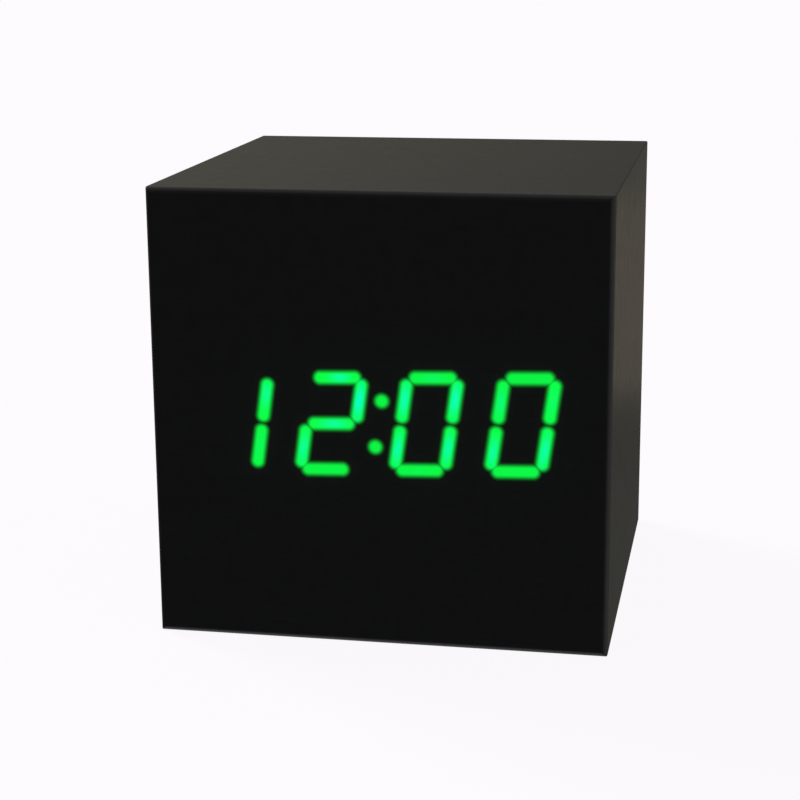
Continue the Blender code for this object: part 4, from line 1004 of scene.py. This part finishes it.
class CLOCK_OT_battery_bay(bpy.types.Operator):
    """Build what the battery door hides: the tray, three plain cells, their springs and contacts"""

    bl_idname = "clock.battery_bay"
    bl_label = "Battery bay"

    def execute(self, context):
        rear, battery = context.scene.clock_rear, context.scene.clock_battery
        tray = moulded("tray_plastic_finish", rear.plastic_colour, 0.5, DULL_GRAIN)
        shape = soften(cad_copy("battery_tray"), rear.edge_width)
        piece("tray_shell", shape, tray, ["battery_tray"])
        nickel = metal("contact_nickel_finish", (0.7, 0.67, 0.6), 0.22)
        paint(nickel, "terminal_negative", "terminal_positive", "bridge_left", "bridge_right")
        for number in (1, 2, 3):
            self.cell(number, battery)
            self.spring(number, battery, nickel)
        return {"FINISHED"}

    @staticmethod
    def towards_positive(number):
        """Where the cell's positive end points: away from its spring."""
        return 1 if centre_of(f"cell_{number}").x > centre_of(f"battery_spring_{number}").x else -1

    def cell(self, number, battery):
        """A cell with a nub, a gutter round it, a groove rolled in near it and a hollow base."""
        low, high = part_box(f"cell_{number}")
        radius, half = (high.z - low.z) / 2, (high.x - low.x) / 2
        nub_radius, nub, nub_edge, edge = 1.9 * MM, 1.0 * MM, 0.25 * MM, 0.5 * MM
        gutter, gutter_start, gutter_end, gutter_rim = 0.12 * MM, 0.4 * MM, 1.1 * MM, 0.8 * MM
        groove, groove_half, groove_drop = 0.12 * MM, 0.3 * MM, 1.9 * MM
        hollow, hollow_rim, hollow_floor = 0.15 * MM, 0.9 * MM, 1.2 * MM
        shoulder = half - nub
        groove_place = shoulder - groove_drop
        profile = [(0, half), (nub_radius - nub_edge, half), (nub_radius, half - nub_edge),
                   (nub_radius, shoulder), (nub_radius + gutter_start, shoulder - gutter),
                   (radius - gutter_end, shoulder - gutter), (radius - gutter_rim, shoulder)]
        profile += fillet((radius - edge, shoulder - edge), edge, 90, 0)
        profile += [(radius, groove_place + groove_half), (radius - groove, groove_place),
                    (radius, groove_place - groove_half)]
        profile += fillet((radius - edge, edge - half), edge, 0, -90)
        profile += [(radius - hollow_rim, -half), (radius - hollow_floor, hollow - half),
                    (0, hollow - half)]
        place = standing((low + high) / 2, (self.towards_positive(number), 0, 0))
        finish = cell_sleeve(f"cell_finish_{number}", battery, half)
        piece(f"cell_{number}_body", turned(profile), finish, [f"cell_{number}"], place=place)

    def spring(self, number, battery, nickel):
        """A conical spring wound as one wire, whose first and last turns lie flat."""
        low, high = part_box(f"battery_spring_{number}")
        side = self.towards_positive(number)
        wire, wire_sides, points_each_turn = 0.25 * MM, 14, 40
        flat_start, flat_both = 0.75, 1.5
        wide, narrow = (high.z - low.z) / 2 - wire, 2.2 * MM
        reach = high.x - low.x - 2 * wire
        turns = battery.spring_turns
        start_x = low.x + wire if side > 0 else high.x - wire
        start = Vector((start_x, (low.y + high.y) / 2, (low.z + high.z) / 2))
        points = []
        for step in range(turns * points_each_turn + 1):
            turn = step / points_each_turn
            climb = min(max(turn - flat_start, 0) / (turns - flat_both), 1)
            spread = wide + (narrow - wide) * turn / turns
            angle = 2 * math.pi * turn
            points.append(start + Vector((side * reach * climb, spread * math.cos(angle),
                                          spread * math.sin(angle))))
        piece(f"spring_{number}_coil", tube(points, wire, wire_sides), nickel,
              [f"battery_spring_{number}"])


class CLOCK_OT_electronics(bpy.types.Operator):
    """Finish the circuit boards, display module, chips, sounder and cables inside the case"""

    bl_idname = "clock.electronics"
    bl_label = "Electronics"

    def execute(self, context):
        lit_colour = context.scene.clock_display.lit_colour
        paint(circuit_board("circuit_board_finish", (0.01, 0.085, 0.033)), "control_board", "display_board")
        paint(moulded("reflector_finish", (0.06, 0.06, 0.062), 0.5, DULL_GRAIN), "reflector_block")
        paint(moulded("spacer_finish", (0.3, 0.3, 0.29), 0.45, (0.3 * MM, 0.005 * MM)),
              *(f"display_spacer_{number}" for number in (1, 2, 3, 4)))
        paint(plain_coat("resin_finish", (0.5, 0.58, 0.48), 0.35, lit_colour), "segment_resin")
        for node in ("controller_chip", "driver_chip"):
            paint(chip_case(node), node)
        paint(metal("can_finish", (0.72, 0.73, 0.74), 0.28, (300, 2500, 2500)), "crystal", "microphone")
        paint(plain_coat("capacitor_finish", (0.015, 0.03, 0.07), 0.3), "capacitor")
        paint(moulded("buzzer_finish", (0.014, 0.014, 0.014), 0.4, (0.25 * MM, 0.006 * MM)), "buzzer")
        paint(ribbon_jacket("ribbon_finish", (0.3, 0.3, 0.31), 1.0 * MM), "ribbon_cable")
        paint(plain_coat("red_wire_finish", (0.5, 0.015, 0.012), 0.38), "battery_wire_red")
        paint(plain_coat("black_wire_finish", (0.014, 0.014, 0.014), 0.38), "battery_wire_black")
        return {"FINISHED"}


class CLOCK_OT_stage(bpy.types.Operator):
    """Set up the pale floor, the soft light and the camera"""

    bl_idname = "clock.stage"
    bl_label = "Stage"

    def execute(self, context):
        scene, stage = context.scene, context.scene.clock_stage
        scene.view_settings.view_transform = "Standard"
        scene.world = self.room(stage)
        self.floor(stage)
        self.lamps(scene)
        scene.camera = self.camera(scene, stage)
        return {"FINISHED"}

    @staticmethod
    def room(stage):
        """A pale backdrop for the camera, and for all else a room that is dim in front and pale behind."""
        made = Finish("studio", bpy.data.worlds.new("studio"))
        way = made.node("ShaderNodeTexCoord", output="Generated")
        across, back, height = way.part(0), way.part(1), way.part(2) * 0.5 + 0.5

        def walls(bands):
            stops = [((up + 1) / 2, colour(rgb)) for up, rgb in bands]
            return made.node("ShaderNodeValToRGB", {"stops": stops}, (height,))

        side = made.node("ShaderNodeMapRange", {}, (across, *ROOM_SIDES, stage.left_light, 1.0))
        rear = walls(REAR_ROOM).vector("MULTIPLY", made.grey(side))
        room = made.mix(made.rise(back, *ROOM_DEPTHS), walls(FRONT_ROOM), rear)
        room = room.vector("ADD", made.grey(made.rise(across, *SIDE_GLOW)))
        seen = made.node("ShaderNodeLightPath", output="Is Camera Ray")
        light = made.mix(seen, room, colour(stage.floor_colour))
        shader = made.node("ShaderNodeBackground", {}, {"Color": light, "Strength": stage.room_light})
        made.node("ShaderNodeOutputWorld", {}, {"Surface": shader})
        return made.owner

    @staticmethod
    def floor(stage):
        """A pale floor that glows enough to meet the backdrop, and still takes a faint shadow."""
        shape = bmesh.new()
        bmesh.ops.create_grid(shape, x_segments=1, y_segments=1, size=FLOOR_REACH)
        floor = put("floor", shape)
        floor.location.z = -TINY
        made, place = started("floor_finish")
        paper = made.tones(made.noise(place, 40), stage.floor_colour, *FLOOR_TONES)
        floor.data.materials.append(made.surface(
            Base_Color=paper, Roughness=1.0, Specular_IOR_Level=0.0,
            Emission_Color=colour(stage.floor_colour), Emission_Strength=FLOOR_GLOW))
        floor.visible_glossy = False
        floor.visible_diffuse = False

    @staticmethod
    def lamps(scene):
        """Broad soft lamps far off: above, behind on the left, and a weak one in front on the right."""
        for name, strength, spread, direction in LAMPS:
            data = bpy.data.lights.new(name, "SUN")
            data.energy = strength
            data.angle = math.radians(spread)
            lamp = bpy.data.objects.new(name, data)
            scene.collection.objects.link(lamp)
            lamp.rotation_euler = Vector(direction).to_track_quat("Z", "Y").to_euler()

    @staticmethod
    def camera(scene, stage):
        data = bpy.data.cameras.new("camera")
        data.lens = stage.camera_lens
        data.clip_start = 10 * MM
        camera = bpy.data.objects.new("camera", data)
        scene.collection.objects.link(camera)
        place, target = Vector(stage.camera_place), Vector(stage.camera_target)
        aim = (target - place).to_track_quat("-Z", "Y").to_matrix().to_4x4()
        camera.matrix_world = Matrix.Translation(place) @ aim @ Matrix.Rotation(stage.camera_roll, 4, "Z")
        return camera


OPERATORS = (CLOCK_OT_stage, CLOCK_OT_case, CLOCK_OT_boards, CLOCK_OT_rear_cover, CLOCK_OT_battery_door,
             CLOCK_OT_buttons, CLOCK_OT_power_inlet, CLOCK_OT_screws, CLOCK_OT_battery_bay,
             CLOCK_OT_electronics)


class CLOCK_PT_looks(bpy.types.Panel):
    """The clock's pieces and their settings"""

    bl_label = "Cube clock"
    bl_space_type = "VIEW_3D"
    bl_region_type = "UI"
    bl_category = "Clock"

    def draw(self, context):
        for operator in OPERATORS:
            self.layout.operator(operator.bl_idname)
        for name, group in SETTINGS.items():
            box = self.layout.box()
            settings = getattr(context.scene, name)
            for key in group.__annotations__:
                box.prop(settings, key)


CLASSES = (*SETTINGS.values(), *OPERATORS, CLOCK_PT_looks)


def register():
    for item in CLASSES:
        bpy.utils.register_class(item)
    for name, group in SETTINGS.items():
        setattr(bpy.types.Scene, name, PointerProperty(type=group))


def unregister():
    for name in SETTINGS:
        delattr(bpy.types.Scene, name)
    for item in reversed(CLASSES):
        bpy.utils.unregister_class(item)


def main():
    register()
    for operator in OPERATORS:
        group, name = operator.bl_idname.split(".")
        getattr(getattr(bpy.ops, group), name)()


if __name__ == "__main__":
    main()
